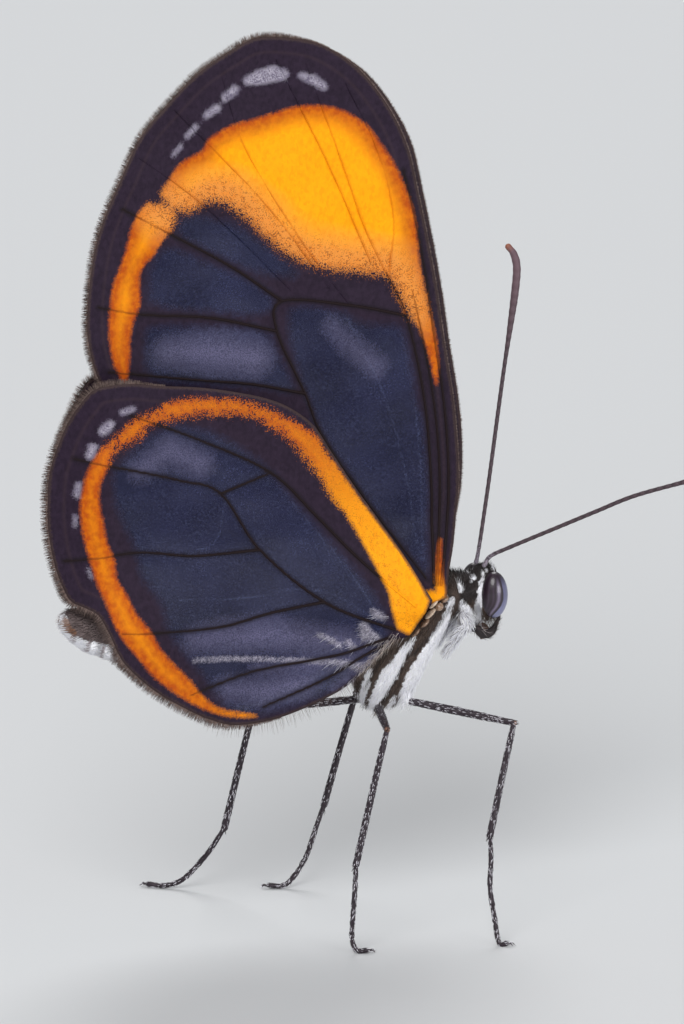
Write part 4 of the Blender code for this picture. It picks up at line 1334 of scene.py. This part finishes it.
def mark_skin(skin):
    """The markings and the lines of painted shade at each point of the skin, with the thorax's grooves
    sunk in.
    """
    mesh = skin.data
    points, normals = mesh_points(mesh), mesh_normals(mesh)
    seen = to_view(right_side(points))
    x, y, z = points.T
    behind = x < ABDOMEN_FRONT + 0.3
    white = np.full(len(points), NOWHERE)
    for stroke in THORAX_WHITE + HEAD_WHITE:
        stroke = np.array(stroke)
        white = np.maximum(white, within_stroke(seen, stroke[:, :2], stroke[:, 2]) / PIXELS_PER_MM)
    under = np.maximum((abdomen_middle(x) - 0.24 - z) * 0.9, (ABDOMEN_TIP + 0.3 - x) * 0.8)
    white = np.where(behind, np.minimum(under, 0.4), white)
    on_back = ~behind & (x > 1.2) & (x < 2.3) & (z > 13.2)
    white = np.where(on_back, np.maximum(white, 0.16 - np.abs(y)), white)
    tan = np.where(x < -12.5, 0.12 - drawn_distance(seen, (ABDOMEN_TAN,)), NOWHERE)
    # Painted shade between the abdomen's lobes
    lobe_shade = np.where(x < -11.0, drawn_distance(seen, ABDOMEN_LOBE_SHADE), -NOWHERE)
    groove = np.where(behind | (x > 3.3), -NOWHERE, drawn_distance(seen, THORAX_GROOVES))
    points -= normals * (0.07 * np.exp(-(groove / 0.09) ** 2))[:, None]
    mesh.vertices.foreach_set("co", points.astype(np.float32).ravel())
    on_neck = ease((x - 2.45) / 0.35) * ease((z - 12.5) / 0.3)
    set_attributes(mesh, {
        "white": white, "black": np.maximum(on_neck, 0.4 * ease((z - 13.0) / 0.4)),
        "groove": groove, "tan": tan, "lobe_shade": lobe_shade, "abdomen": behind.astype(float),
    })
    comb_skin(mesh, points, normals, behind)


def comb_skin(mesh, points, normals, behind):
    """The lie and length of the coat at each point of the skin, and which coat grows there."""
    x, y, z = points.T
    above = z - HEAD_MIDDLE.z
    head = ease((x - 3.2) / 0.5)
    places = {
        "head": head,
        "collar": ease((x - 2.1) / 0.5) * (1 - head) * ease((z - 12.7) / 0.5),
        "throat": ease((x - 2.7) / 0.4) * ease((12.6 - z) / 0.4),
        "hem": ease((9.9 - z) / 0.8) * ~behind,
        "chin": head * ease((-0.55 - above) / 0.3),
        "brow": ease((x - 4.1) / 0.3) * ease((z - 13.45) / 0.25),
        "tail": ease((-12.6 - x) / 0.8),
    }
    collar = places["collar"]
    lie = np.tile((-0.45, 0.0, -0.9), (len(points), 1))
    lie = lie * (1 - collar)[:, None] + np.array((-0.15, 0.0, 0.95)) * collar[:, None]
    lie[behind] = (-1.0, 0.0, -0.12)
    head_lie = np.stack([0.25 - 0.5 * (z > 13.2), 0 * y, np.where(above > 0.3, 0.9, -0.9)], axis=1)
    lie = lie * (1 - head)[:, None] + head_lie * head[:, None]
    lie -= normals * np.sum(lie * normals, axis=1)[:, None]
    lie /= np.maximum(np.linalg.norm(lie, axis=1), 1e-6)[:, None]
    lie += normals * sum(share * places[key] for key, share in STANDING.items())[:, None]
    on_thorax, on_abdomen = COAT_LENGTHS
    long = np.where(behind, on_abdomen, on_thorax)
    long = long + sum(more * places[key] for key, more in LONGER.items())
    set_attributes(mesh, {
        "lie": lie, "up": normals, "long": long * MM, "cover_abdomen": behind.astype(float),
        "cover_head": (head > 0.5).astype(float),
        "cover_thorax": (~behind & (head <= 0.5)).astype(float),
    })


def coat_colours(n, colours, tone):
    """The body's markings and the painted shade between the abdomen's lobes, the same on its skin and on
    its tufts.
    """
    white = (n.attribute("white") + n.grain(0.18) * 0.16).edge(0.06)
    brown = n.mix(tuple(colours.brown), srgb(92, 74, 63), tone)
    brown = n.mix(brown, n.mix(srgb(13, 10, 11), srgb(52, 41, 40), tone), n.attribute("black"))
    brown = n.mix(brown, n.mix(srgb(76, 63, 64), srgb(126, 110, 108), tone), n.attribute("abdomen"))
    pale = n.mix(tuple(colours.white), srgb(243, 243, 252), tone)
    # Painted shade: the white is greyed between the abdomen's lobes
    pale = n.mix(pale, srgb(150, 134, 138), (0.07 - n.attribute("lobe_shade")).edge(0.06) * 0.8)
    tan = (n.attribute("tan") + n.grain(0.2) * 0.1).edge(0.06) * 0.85
    return n.mix(n.mix(brown, pale, white), srgb(132, 92, 66), tan)


def skin_material(colours):
    material, n = new_material("body_skin")
    fine = n.grain(0.06)
    base = coat_colours(n, colours, fine.edge(0.9))
    # Painted shade: the skin is darkened along the thorax's grooves
    base = n.mix(base, srgb(28, 20, 22), (0.07 - n.attribute("groove")).edge(0.1) * 0.8)
    height = fine + n.grain(0.2) * 0.6
    n.surface(Base_Color=base, Roughness=0.6 + fine * 0.2, Normal=n.bump(height, 0.03))
    return material


def coat_material(colours):
    material, n = new_material("body_coat")
    n.surface(Base_Color=coat_colours(n, colours, n.attribute("tone")), Roughness=0.55)
    return material


def eye_band(turn, place, half_width, softness):
    return (half_width - (turn - place).size()).edge(softness)


def eye_material():
    """A dark globe with pale upright bands, under a fine net of facets."""
    material, n = new_material("banded_eye")
    turn, rise = n.attribute("longitude"), n.attribute("rise")
    wander = n.grain(0.25) * 0.03
    net = n.shingle(0.045)
    drop = n.maths("MAXIMUM", 0 - rise, 0.0)
    turn = turn + drop * drop * 0.85 + wander
    streak = eye_band(turn, *EYE_STREAK)
    faint = n.maths("MAXIMUM", *(eye_band(turn, *band) for band in EYE_FAINT_BANDS))
    front = (turn - EYE_FRONT_BAND).edge(0.06)
    low = (EYE_BANDS_TOP - rise).edge(0.4)
    pale = n.mix(srgb(72, 68, 98), srgb(128, 129, 166), (drop + 0.1 + wander).edge(1.2))
    base = n.mix(srgb(46, 29, 42), srgb(30, 18, 30), n.grain(0.4).edge(1.0))
    base = n.mix(base, srgb(128, 116, 142), streak * low * 0.85)
    base = n.mix(base, srgb(84, 66, 88), faint * low * 0.5)
    base = n.mix(base, pale, front * low)
    base = n.mix(base, srgb(16, 11, 18), net.edge(1.2) * 0.25)
    n.surface(
        Base_Color=base, Roughness=0.26 + net * 0.15, Coat_Weight=0.35,
        Normal=n.bump(1 - net, 0.006, 0.6),
    )
    return material


def make_eye(side):
    """A smooth dome on one side of the head, with the turn and height of each point as attributes."""
    shape = bmesh.new()
    inner = HEAD_HALF_WIDTH + GAP - 0.04
    half_sizes = np.array((EYE_HALF_LENGTH * EYE_SLIMMING, EYE_BULGE, EYE_HEIGHT / 2))
    ball(shape, (0, 0, 0), (1, 1, 1), detail=64)
    for vertex in shape.verts:
        if vertex.co.y * side < -0.55:
            vertex.co.y = -side * 0.55
    unit = np.array([v.co[:] for v in shape.verts])
    mesh = mesh_of(shape, "eye")
    longitude = np.arctan2(unit[:, 0], np.maximum(unit[:, 1] * side, 0.05)) / (math.pi / 2)
    set_attributes(mesh, {"longitude": longitude, "rise": unit[:, 2]})
    place = head_place() @ Matrix.Translation((EYE_FORWARD, side * inner, 0))
    mesh.transform(place @ Matrix.Diagonal((*half_sizes, 1)))
    mesh.shade_smooth()
    return mesh


# Settings, operators and panel

class ButterflyWings(PropertyGroup):
    membrane: FloatProperty(
        name="Membrane", description="Thickness of a wing's sheet, in millimetres", default=0.03,
        min=0.01, max=0.3,
    )
    vein: FloatProperty(
        name="Vein", description="Radius of a main vein at its root, in millimetres", default=0.06,
        min=0.02, max=0.2,
    )
    membrane_cover: FloatProperty(
        name="Cover", description="How much of what is behind one face of a clear cell is hidden",
        default=0.84, min=0.0, max=1.0, subtype="FACTOR",
    )
    orange: FloatVectorProperty(
        name="Orange", description="Colour of the bands", subtype="COLOR",
        default=srgb(255, 166, 2), min=0, max=1,
    )
    dark: FloatVectorProperty(
        name="Dark scales", description="Colour of the borders", subtype="COLOR",
        default=srgb(27, 17, 31), min=0, max=1,
    )
    membrane_colour: FloatVectorProperty(
        name="Clear cells", description="Colour of the membrane", subtype="COLOR",
        default=srgb(27, 28, 52), min=0, max=1,
    )
    seed: IntProperty(name="Seed", description="Start of the fringe's random draws", default=5)


class ButterflyCoat(PropertyGroup):
    coat_depth: FloatProperty(
        name="Depth", description="How far the skin lies inside the solids, in millimetres",
        default=0.12, min=0.02, max=0.3,
    )
    spacing: FloatProperty(
        name="Spacing", description="Least distance between the abdomen's tufts, in millimetres",
        default=0.08, min=0.05, max=0.5,
    )
    width: FloatProperty(
        name="Width", description="Width of a tuft, in millimetres", default=0.055, min=0.01, max=0.2,
    )
    brown: FloatVectorProperty(
        name="Brown", description="Colour of the thorax between its bands", subtype="COLOR",
        default=srgb(44, 32, 28), min=0, max=1,
    )
    white: FloatVectorProperty(
        name="White", description="Colour of the bands and tufts", subtype="COLOR",
        default=srgb(255, 255, 255), min=0, max=1,
    )
    seed: IntProperty(name="Seed", description="Start of the coat's random draws", default=11)


class ButterflyLimbs(PropertyGroup):
    femur: FloatProperty(
        name="Thigh", description="Radius of a walking leg's thigh, in millimetres", default=0.165,
        min=0.05, max=0.24,
    )
    tarsus: FloatProperty(
        name="Foot", description="Radius of a foot, in millimetres", default=0.105, min=0.05, max=0.2,
    )
    feeler: FloatProperty(
        name="Feeler", description="Radius of a feeler half way along, in millimetres", default=0.085,
        min=0.03, max=0.2,
    )
    seed: IntProperty(name="Seed", description="Start of the leg scales' random draws", default=23)


class ButterflyStage(PropertyGroup):
    distance: FloatProperty(
        name="Camera distance", description="From the camera to the animal", default=1.2, min=0.3,
        max=5.0, unit="LENGTH",
    )
    floor: FloatVectorProperty(
        name="Floor", description="Colour of the floor", subtype="COLOR", default=(0.62, 0.63, 0.64),
        min=0, max=1,
    )
    light: FloatProperty(
        name="Light", description="Strength of the main light, in watts", default=1.5, min=0.0,
    )


# Limbs and mouthparts

FOOT_COAT = 0.03  # how far a foot's scales stand off it, in millimetres
FOOT_JOINTS = (0.0, 0.42, 0.6, 0.75, 0.88, 1.0)  # where its segments meet, as shares of its length
CLAW_RADII, SPUR_RADII = (0.03, 0.012), (0.035, 0.01)
CLUB_START, CLUB_GROWTH = 0.62, 0.26  # of a feeler's length
CLUB_SWELL = 0.95  # of a feeler's radius


def rounded(line, radii):
    """The line and its radii, with both ends drawn in to a small round cap."""
    line, radii = np.asarray(line, float), np.asarray(radii, float)
    first, last = line[0] - line[1], line[-1] - line[-2]
    first, last = first / np.linalg.norm(first), last / np.linalg.norm(last)
    starts = [line[0] + first * radii[0] * s for s in (0.95, 0.75, 0.4)]
    ends = [line[-1] + last * radii[-1] * s for s in (0.4, 0.75, 0.95)]
    caps = (0.25, 0.66, 0.92)
    radii = np.concatenate([[radii[0] * c for c in caps], radii, [radii[-1] * c for c in caps[::-1]]])
    return np.vstack([starts, line, ends]), radii


def tubes(name, parts, rig, material, sides=12, attributes=()):
    """One mesh of tubes, each given as its points and radii in millimetres."""
    lines, radii, lies = [], [], []
    for points, widths in parts:
        line, widths = rounded(points, widths)
        lines.append(line)
        radii.append(widths * MM)
        along = np.gradient(line, axis=0)
        lies.append(along / np.linalg.norm(along, axis=1)[:, None])
    values = {"radius": radii, "lie": lies}
    for key, function in dict(attributes).items():
        values[key] = [function(i, line) for i, line in enumerate(lines)]
    obj = to_model(line_object(name, lines, values))
    rig.run(obj, material, Sides=sides)
    return obj


def ready_for_tufts(obj, long):
    """Gives a tube the lie and normals that its tufts follow, square to each other."""
    mesh = obj.data
    normals = mesh_normals(mesh)
    lie = np.empty(len(mesh.vertices) * 3, np.float32)
    mesh.attributes["lie"].data.foreach_get("vector", lie)
    lie = lie.reshape(-1, 3).astype(float)
    lie -= normals * np.sum(lie * normals, axis=1)[:, None]
    lie /= np.maximum(np.linalg.norm(lie, axis=1), 1e-6)[:, None]
    mesh.attributes.remove(mesh.attributes["lie"])
    count = len(mesh.vertices)
    set_attributes(mesh, {
        "lie": lie, "up": normals, "long": np.full(count, long * MM), "cover": np.ones(count),
    })
    unwrap(obj)


def leg_parts(leg, sizes):
    """Points and radii of thigh, shin and foot, with the claws at the end."""
    knee, ankle = from_view(*leg["knee"]), from_view(*leg["ankle"])
    foot = [from_view(*p) for p in leg["foot"]]
    for point in foot[-2:]:
        point[2] = sizes.tarsus + FOOT_COAT
    outer = hip_points(leg)[1]
    parts = []
    thigh = curve_through([outer, outer + 0.35 * (knee - outer), knee], 0.15)
    t = np.linspace(0, 1, len(thigh))
    swell = 0.84 + 0.18 * np.sin(np.pi * np.clip(t * 1.1, 0, 1)) - 0.06 * t
    parts.append((thigh, sizes.femur * swell))
    sag = 0.03 * np.linalg.norm(ankle - knee) * np.array((0, 0, 1.0))
    shin = curve_through([knee, (knee + ankle) / 2 + sag * 0.3, ankle], 0.15)
    t = np.linspace(0, 1, len(shin))
    parts.append((shin, sizes.femur * (0.74 + 0.12 * t - 0.16 * np.clip((0.12 - t) / 0.12, 0, 1))))
    line = curve_through([ankle + 0.1 * (foot[0] - ankle), *foot], 0.05)
    t = np.linspace(0, 1, len(line))
    phase = np.interp(t, FOOT_JOINTS, np.arange(float(len(FOOT_JOINTS)))) % 1
    parts.append((line, sizes.tarsus * (0.86 + 0.16 * phase - 0.2 * (phase < 0.06) * (t > 0.1))))
    ahead = (foot[-1] - foot[-2]) / np.linalg.norm(foot[-1] - foot[-2])
    aside = np.cross(ahead, (0, 0, 1.0))
    for side in (-1, 1):
        tip = foot[-1] + 0.1 * ahead + 0.05 * side * aside
        claw = curve_through([
            tip, tip + 0.09 * ahead + 0.03 * side * aside + np.array((0, 0, 0.02)),
            tip + 0.16 * ahead + 0.04 * side * aside - np.array((0, 0, 0.05)),
        ], 0.03)
        parts.append((claw, np.linspace(*CLAW_RADII, len(claw))))
    for side in (-1, 1):
        along = (ankle - knee) / np.linalg.norm(ankle - knee)
        spur = np.array([ankle, ankle + 0.3 * along + 0.12 * side * np.cross(along, (0, 1.0, 0))])
        parts.append((spur, np.array(SPUR_RADII)))
    return parts


def leg_material():
    material, n = new_material("leg")
    fine = n.grain(0.05)
    base = n.mix(srgb(24, 17, 24), srgb(66, 52, 62), fine.edge(1.0))
    base = n.mix(base, srgb(150, 112, 92), (n.attribute("knee") - 0.5 + fine * 0.4).edge(0.3) * 0.8)
    n.surface(Base_Color=base, Roughness=0.5 + fine * 0.2, Normal=n.bump(fine, 0.02))
    return material


def leg_scale_material():
    """Dark scales with pale ones strewn among them."""
    material, n = new_material("leg_scale")
    tone = n.attribute("tone")
    pale = (tone - 0.68 + n.grain(0.3) * 0.6).edge(0.05)
    base = n.mix(n.mix(srgb(20, 14, 20), srgb(58, 46, 56), tone), srgb(244, 242, 250), pale)
    n.surface(Base_Color=base, Roughness=0.45, Specular_IOR_Level=0.3)
    return material


def feeler_material():
    material, n = new_material("feeler")
    fine, along = n.grain(0.04), n.attribute("along")
    base = n.mix(srgb(30, 22, 26), srgb(80, 66, 72), (fine + n.attribute("ring") * 0.5).edge(1.0))
    base = n.mix(base, srgb(196, 188, 204), (0.04 - along + fine * 0.2).edge(0.08) * 0.4)
    base = n.mix(base, srgb(112, 88, 96), (along - 0.8).edge(0.3) * 0.7)
    base = n.mix(base, srgb(150, 92, 66), (along - ORANGE_TIP).edge(0.03))
    height = n.attribute("ring") + fine * 0.3
    n.surface(
        Base_Color=base, Roughness=0.5, Specular_IOR_Level=0.25, Normal=n.bump(height, 0.012, 0.8)
    )
    return material


def plain_material(name, first, second, roughness, size=0.1, depth=0.02, coat=0.0):
    """A mottled finish between two colours."""
    material, n = new_material(name)
    grain = n.grain(size)
    base = n.mix(first, second, grain.edge(1.0))
    n.surface(
        Base_Color=base, Roughness=roughness, Coat_Weight=coat, Normal=n.bump(grain, depth, 0.8)
    )
    return material


# Knobs of the wing joints: pixel, distance outside the forewing's inner face, half sizes, finish
JOINT_KNOBS = (
    ((440, 607.5), -0.1, (0.19, 0.2, 0.16), "glossy"),
    ((446, 600), -0.16, (0.2, 0.2, 0.12), "glossy"),
    ((434, 604), -0.04, (0.26, 0.16, 0.08), "cream"),
    ((431, 614), -0.08, (0.3, 0.18, 0.1), "cream"),
    ((425, 623), -0.02, (0.24, 0.2, 0.1), "glossy"),
    ((415, 632), 0.02, (0.26, 0.22, 0.1), "glossy"),
    ((399, 643), 0.06, (0.22, 0.22, 0.09), "cream"),
)
JOINT_SLANT = -0.75  # turn of the knobs about the animal's left, in radians


def make_knobs(materials):
    for finish in ("glossy", "cream"):
        shape = bmesh.new()
        for pixel, out, half_sizes, kind in JOINT_KNOBS:
            if kind == finish:
                x, z = on_wing([pixel], forewing_face)[0]
                for side in (-1, 1):
                    y = side * (forewing_face(x, z) + out)
                    ball(shape, (x, y, z), half_sizes, Matrix.Rotation(JOINT_SLANT, 4, "Y"))
        mesh = mesh_of(shape, "wing_joints_" + finish)
        mesh.shade_smooth()
        mesh.materials.append(materials[finish])
        declare(to_model(add_object("wing_joints_" + finish, mesh)), "thorax")


# Operators

class BUTTERFLY_OT_wings(Operator):
    """Make the four wings: membranes, raised veins and fringes"""

    bl_idname = "butterfly.wings"
    bl_label = "Make Wings"

    def execute(self, context):
        sizes = context.scene.butterfly_wings
        rigs = {"tube": tube_rig(), "edge": tuft_rig("Fringe", True), "fur": tuft_rig("Fur", False)}
        materials = {
            "wing": wing_material(sizes), "fringe": fringe_material(), "fur": fur_material(),
        }
        for kind in WING_KINDS:
            plan = WingPlan(kind)
            sheet = plan.sheet()
            for side_name, side in (("right", -1), ("left", 1)):
                make_wing(plan, sheet, side_name, side, materials, rigs, sizes)
        return {"FINISHED"}


class BUTTERFLY_OT_body(Operator):
    """Make the body: one skin, its coat of tufts and the knobs of the wing joints"""

    bl_idname = "butterfly.body"
    bl_label = "Make Body"

    def execute(self, context):
        sizes = context.scene.butterfly_coat
        skin = make_skin(sizes)
        mark_skin(skin)
        to_model(skin)
        unwrap(skin)
        skin.data.materials.append(skin_material(sizes))
        rig, finish = tuft_rig("Coat", False), coat_material(sizes)
        for part, finer in (("thorax", 0.8), ("abdomen", 1.0), ("head", 0.55)):
            dress(
                f"{part}_coat", skin, rig, finish, part, "cover_" + part,
                Spacing=sizes.spacing * finer * MM, Width=sizes.width * finer * MM, Lift=0.28,
                Disorder=0.22, Bend=0.12, Flatness=0.3, Segments=1, Seed=sizes.seed,
            )
        tidy_attributes(skin.data)
        declare(skin, "thorax", "thorax", "abdomen", "head")
        make_knobs({
            "glossy": plain_material(
                "joint_horn", srgb(104, 78, 62), srgb(170, 140, 116), 0.22, coat=0.5
            ),
            "cream": plain_material(
                "joint_cream", srgb(176, 148, 124), srgb(232, 214, 194), 0.35, 0.12
            ),
        })
        return {"FINISHED"}


class BUTTERFLY_OT_eyes(Operator):
    """Make the two banded eyes"""

    bl_idname = "butterfly.eyes"
    bl_label = "Make Eyes"

    def execute(self, context):
        finish = eye_material()
        for name, side in (("eye_right", -1), ("eye_left", 1)):
            mesh = make_eye(side)
            mesh.materials.append(finish)
            declare(to_model(add_object(name + "_globe", mesh)), "eye", name)
        return {"FINISHED"}


class BUTTERFLY_OT_feelers(Operator):
    """Make the two ringed feelers"""

    bl_idname = "butterfly.feelers"
    bl_label = "Make Feelers"

    def execute(self, context):
        sizes, rig, finish = context.scene.butterfly_limbs, tube_rig(), feeler_material()
        for side, path in ANTENNA_PATHS.items():
            line = curve_through([from_view(*p) for p in path], 0.05)
            t = np.linspace(0, 1, len(line))
            ring = np.cos(t * ANTENNA_JOINTS * 2 * np.pi)
            base = 0.2 * np.clip((0.02 - t) / 0.02, 0, 1)
            club = CLUB_SWELL * ease((t - CLUB_START) / CLUB_GROWTH)
            club *= 1 - 0.4 * ease((t - 0.95) / 0.05)
            radius = sizes.feeler * (1 + base - 0.12 * np.abs(t - 0.5) + club + 0.05 * ring)

            def along(_, points):
                return np.linspace(0, 1, len(points))

            def rings(_, points):
                return 0.5 + 0.5 * np.cos(np.linspace(0, 1, len(points)) * ANTENNA_JOINTS * 2 * np.pi)

            values = {"along": along, "ring": rings}
            feeler = tubes(f"feeler_{side}", [(line, radius)], rig, finish, 14, values)
            tidy_attributes(feeler.data)
            declare(feeler, "antenna", f"antenna_{side}")
        return {"FINISHED"}


class BUTTERFLY_OT_mouth(Operator):
    """Make the two palps and the coiled tongue between them"""

    bl_idname = "butterfly.mouth"
    bl_label = "Make Mouthparts"

    def execute(self, context):
        coat, rig, tufts = context.scene.butterfly_coat, tube_rig(), tuft_rig("Palp hair", False)
        place = head_place()
        skin = plain_material("palp_skin", srgb(20, 16, 18), srgb(52, 42, 44), 0.7)
        hair, n = new_material("palp_hair")
        pale = (n.attribute("front") - 0.3).edge(0.2)
        dark = n.mix(srgb(16, 14, 15), srgb(56, 47, 46), n.attribute("tone"))
        n.surface(Base_Color=n.mix(dark, srgb(190, 182, 180), pale), Roughness=0.5)
        for name, side in (("palp_right", -1), ("palp_left", 1)):
            raised = [(f - 0.06, side * PALP_SPACING, u + PALP_RAISE) for f, u in PALP_PATH]
            forward, up = PALP_PATH[-1]
            tip = (forward + PALP_TIP[0], side * PALP_SPACING, up + PALP_TIP[1])
            path = curve_through([*raised, tip], 0.08)
            t = np.linspace(0, 1, len(path))
            radius = PALP_RADIUS * (1 - 0.62 * ease((t - 0.5) / 0.5))
            palp = tubes(name + "_skin", [(moved(path, place), radius)], rig, skin)
            mesh = palp.data
            ready_for_tufts(palp, 0.24)
            normals = mesh_normals(mesh)
            upper = np.clip(normals[:, 2], 0, 1)
            mesh.attributes.remove(mesh.attributes["long"])
            ahead = np.array((math.cos(HEAD_TURN), math.sin(HEAD_TURN), 0))
            set_attributes(mesh, {"long": (0.22 + 0.2 * upper) * MM, "front": normals @ ahead})
            dress(
                name + "_hair", palp, tufts, hair, "palp", Spacing=0.075 * MM, Width=0.035 * MM,
                Lift=0.35, Disorder=0.3, Bend=0.1, Seed=coat.seed,
            )
            tidy_attributes(mesh)
            declare(palp, "palp", name)
        t = np.linspace(0, 1, 60)
        angle = 2 * math.pi * COIL_TURNS * t - 0.5 * math.pi
        radius = COIL_RADIUS * (1 - 0.7 * t)
        forward, up = COIL_MIDDLE
        turns = [forward + radius * np.cos(angle), 0.03 * t, up + radius * np.sin(angle)]
        coil = [(moved(np.stack(turns, axis=1), place), 0.075 - 0.04 * t)]
        horn = plain_material("tongue", srgb(52, 30, 20), srgb(104, 66, 42), 0.35, 0.05)
        tongue = tubes("tongue", coil, rig, horn)
        tidy_attributes(tongue.data)
        declare(tongue, "proboscis", "proboscis")
        return {"FINISHED"}


class BUTTERFLY_OT_legs(Operator):
    """Make the four walking legs with their scales and claws, and the two small forelegs"""

    bl_idname = "butterfly.legs"
    bl_label = "Make Legs"

    def execute(self, context):
        sizes, coat = context.scene.butterfly_limbs, context.scene.butterfly_coat
        rig, tufts = tube_rig(), tuft_rig("Leg scales", False)
        skin, scales = leg_material(), leg_scale_material()

        def knee(index, points):
            return np.linspace(0, 1, len(points)) ** 12 if index == 0 else np.zeros(len(points))

        for number, (name, leg) in enumerate(LEGS.items()):
            obj = tubes(f"leg_{name}", leg_parts(leg, sizes), rig, skin, 12, {"knee": knee})
            ready_for_tufts(obj, 0.13)
            dress(
                f"leg_{name}_scales", obj, tufts, scales, "leg", Spacing=0.06 * MM,
                Width=0.05 * MM, Lift=0.12, Disorder=0.2, Bend=0.05, Flatness=0.25, Segments=1,
                Seed=sizes.seed + number,
            )
            tidy_attributes(obj.data)
            declare(obj, "leg", f"femur_{name}", f"tibia_{name}", f"tarsus_{name}")

        white = plain_material("foreleg_skin", srgb(120, 108, 104), srgb(205, 203, 214), 0.7)
        hair, n = new_material("foreleg_hair")
        shade = n.mix(srgb(232, 232, 242), tuple(coat.white), n.attribute("tone"))
        inner = n.mix(srgb(80, 66, 60), srgb(130, 114, 104), n.attribute("tone"))
        n.surface(Base_Color=n.mix(inner, shade, (n.attribute("front") + 0.88).edge(0.25)), Roughness=0.55)
        for name, side in (("foreleg_right", -1), ("foreleg_left", 1)):
            root = (2.95, 0.5, 12.0)
            path = curve_through([(x, side * y, z) for x, y, z in (root, *FORELEG_PATH)], 0.1)
            t = np.linspace(0, 1, len(path))
            obj = tubes(name + "_skin", [(path, 0.25 * (1 - 0.5 * t))], rig, white)
            ready_for_tufts(obj, 0.3)
            set_attributes(obj.data, {"front": mesh_normals(obj.data)[:, 0]})
            dress(
                name + "_hair", obj, tufts, hair, "foreleg", Spacing=0.045 * MM, Width=0.055 * MM,
                Lift=0.5, Disorder=0.25, Bend=0.1, Seed=coat.seed + 3,
            )
            tidy_attributes(obj.data)
            declare(obj, "foreleg", name)
        return {"FINISHED"}


class BUTTERFLY_OT_stage(Operator):
    """Make the floor, the soft lights and the camera at the photo's angle"""

    bl_idname = "butterfly.stage"
    bl_label = "Make Stage"

    def execute(self, context):
        scene, settings = context.scene, context.scene.butterfly_stage
        mesh = bpy.data.meshes.new("floor")
        corners = [(x * FLOOR_HALF, y * FLOOR_HALF, 0) for x, y in ((-1, -1), (1, -1), (1, 1), (-1, 1))]
        mesh.from_pydata(corners, [], [(0, 1, 2, 3)])
        floor = add_object("floor", mesh)
        finish, n = new_material("floor")
        n.surface(Base_Color=tuple(settings.floor), Roughness=0.85)
        mesh.materials.append(finish)

        middle = Vector(from_view(PHOTO_WIDTH / 2, PHOTO_HEIGHT / 2, 0)) + SHIFT
        aim = middle * MM
        back = Vector((
            -math.sin(VIEW_YAW) * math.cos(VIEW_ELEVATION),
            -math.cos(VIEW_YAW) * math.cos(VIEW_ELEVATION), math.sin(VIEW_ELEVATION),
        ))
        camera = bpy.data.objects.new("camera", bpy.data.cameras.new("camera"))
        scene.collection.objects.link(camera)
        camera.location = aim + back * settings.distance
        camera.rotation_euler = (-back).to_track_quat("-Z", "Y").to_euler()
        camera.data.sensor_width = SENSOR
        camera.data.lens = SENSOR * settings.distance / (PHOTO_HEIGHT / PIXELS_PER_MM * MM)
        camera.data.clip_start, camera.data.clip_end = 0.05, 50
        scene.camera = camera

        for name, (yaw, rise, away, size, power) in LIGHTS.items():
            light = bpy.data.lights.new(name, "AREA")
            light.shape, light.size, light.energy = "DISK", size, settings.light * power
            lamp = bpy.data.objects.new(name, light)
            scene.collection.objects.link(lamp)
            yaw, rise = math.radians(yaw), math.radians(rise)
            way = Vector((math.sin(yaw) * math.cos(rise), -math.cos(yaw) * math.cos(rise), math.sin(rise)))
            lamp.location = aim + way * away
            lamp.rotation_euler = (-way).to_track_quat("-Z", "Y").to_euler()
            lamp.visible_camera = False

        world = bpy.data.worlds.new("studio")
        world.use_nodes = True
        air = Nodes(world.node_tree)
        glow = air.add("ShaderNodeBackground", None, {"Color": (0.95, 0.97, 1.0, 1), "Strength": 0.36})
        air.add("ShaderNodeOutputWorld", None, {"Surface": glow})
        scene.world = world
        scene.view_settings.view_transform = "Standard"
        return {"FINISHED"}


STEPS = (
    BUTTERFLY_OT_stage, BUTTERFLY_OT_wings, BUTTERFLY_OT_body, BUTTERFLY_OT_eyes,
    BUTTERFLY_OT_feelers, BUTTERFLY_OT_mouth, BUTTERFLY_OT_legs,
)
GROUPS = {
    "butterfly_wings": ButterflyWings, "butterfly_coat": ButterflyCoat,
    "butterfly_limbs": ButterflyLimbs, "butterfly_stage": ButterflyStage,
}


class BUTTERFLY_PT_panel(Panel):
    """The butterfly's settings and the steps that make it"""

    bl_idname = "BUTTERFLY_PT_panel"
    bl_label = "Butterfly"
    bl_space_type = "VIEW_3D"
    bl_region_type = "UI"
    bl_category = "Butterfly"

    def draw(self, context):
        for name, group in GROUPS.items():
            column = self.layout.box().column()
            for key in group.__annotations__:
                column.prop(getattr(context.scene, name), key)
        for step in STEPS:
            self.layout.operator(step.bl_idname)


def register():
    for cls in (*GROUPS.values(), *STEPS, BUTTERFLY_PT_panel):
        bpy.utils.register_class(cls)
    for name, group in GROUPS.items():
        setattr(bpy.types.Scene, name, PointerProperty(type=group))


def unregister():
    for name in GROUPS:
        delattr(bpy.types.Scene, name)
    for cls in (BUTTERFLY_PT_panel, *reversed(STEPS), *reversed(GROUPS.values())):
        bpy.utils.unregister_class(cls)


def main():
    register()
    for step in STEPS:
        group, name = step.bl_idname.split(".")
        getattr(getattr(bpy.ops, group), name)()


if __name__ == "__main__":
    main()
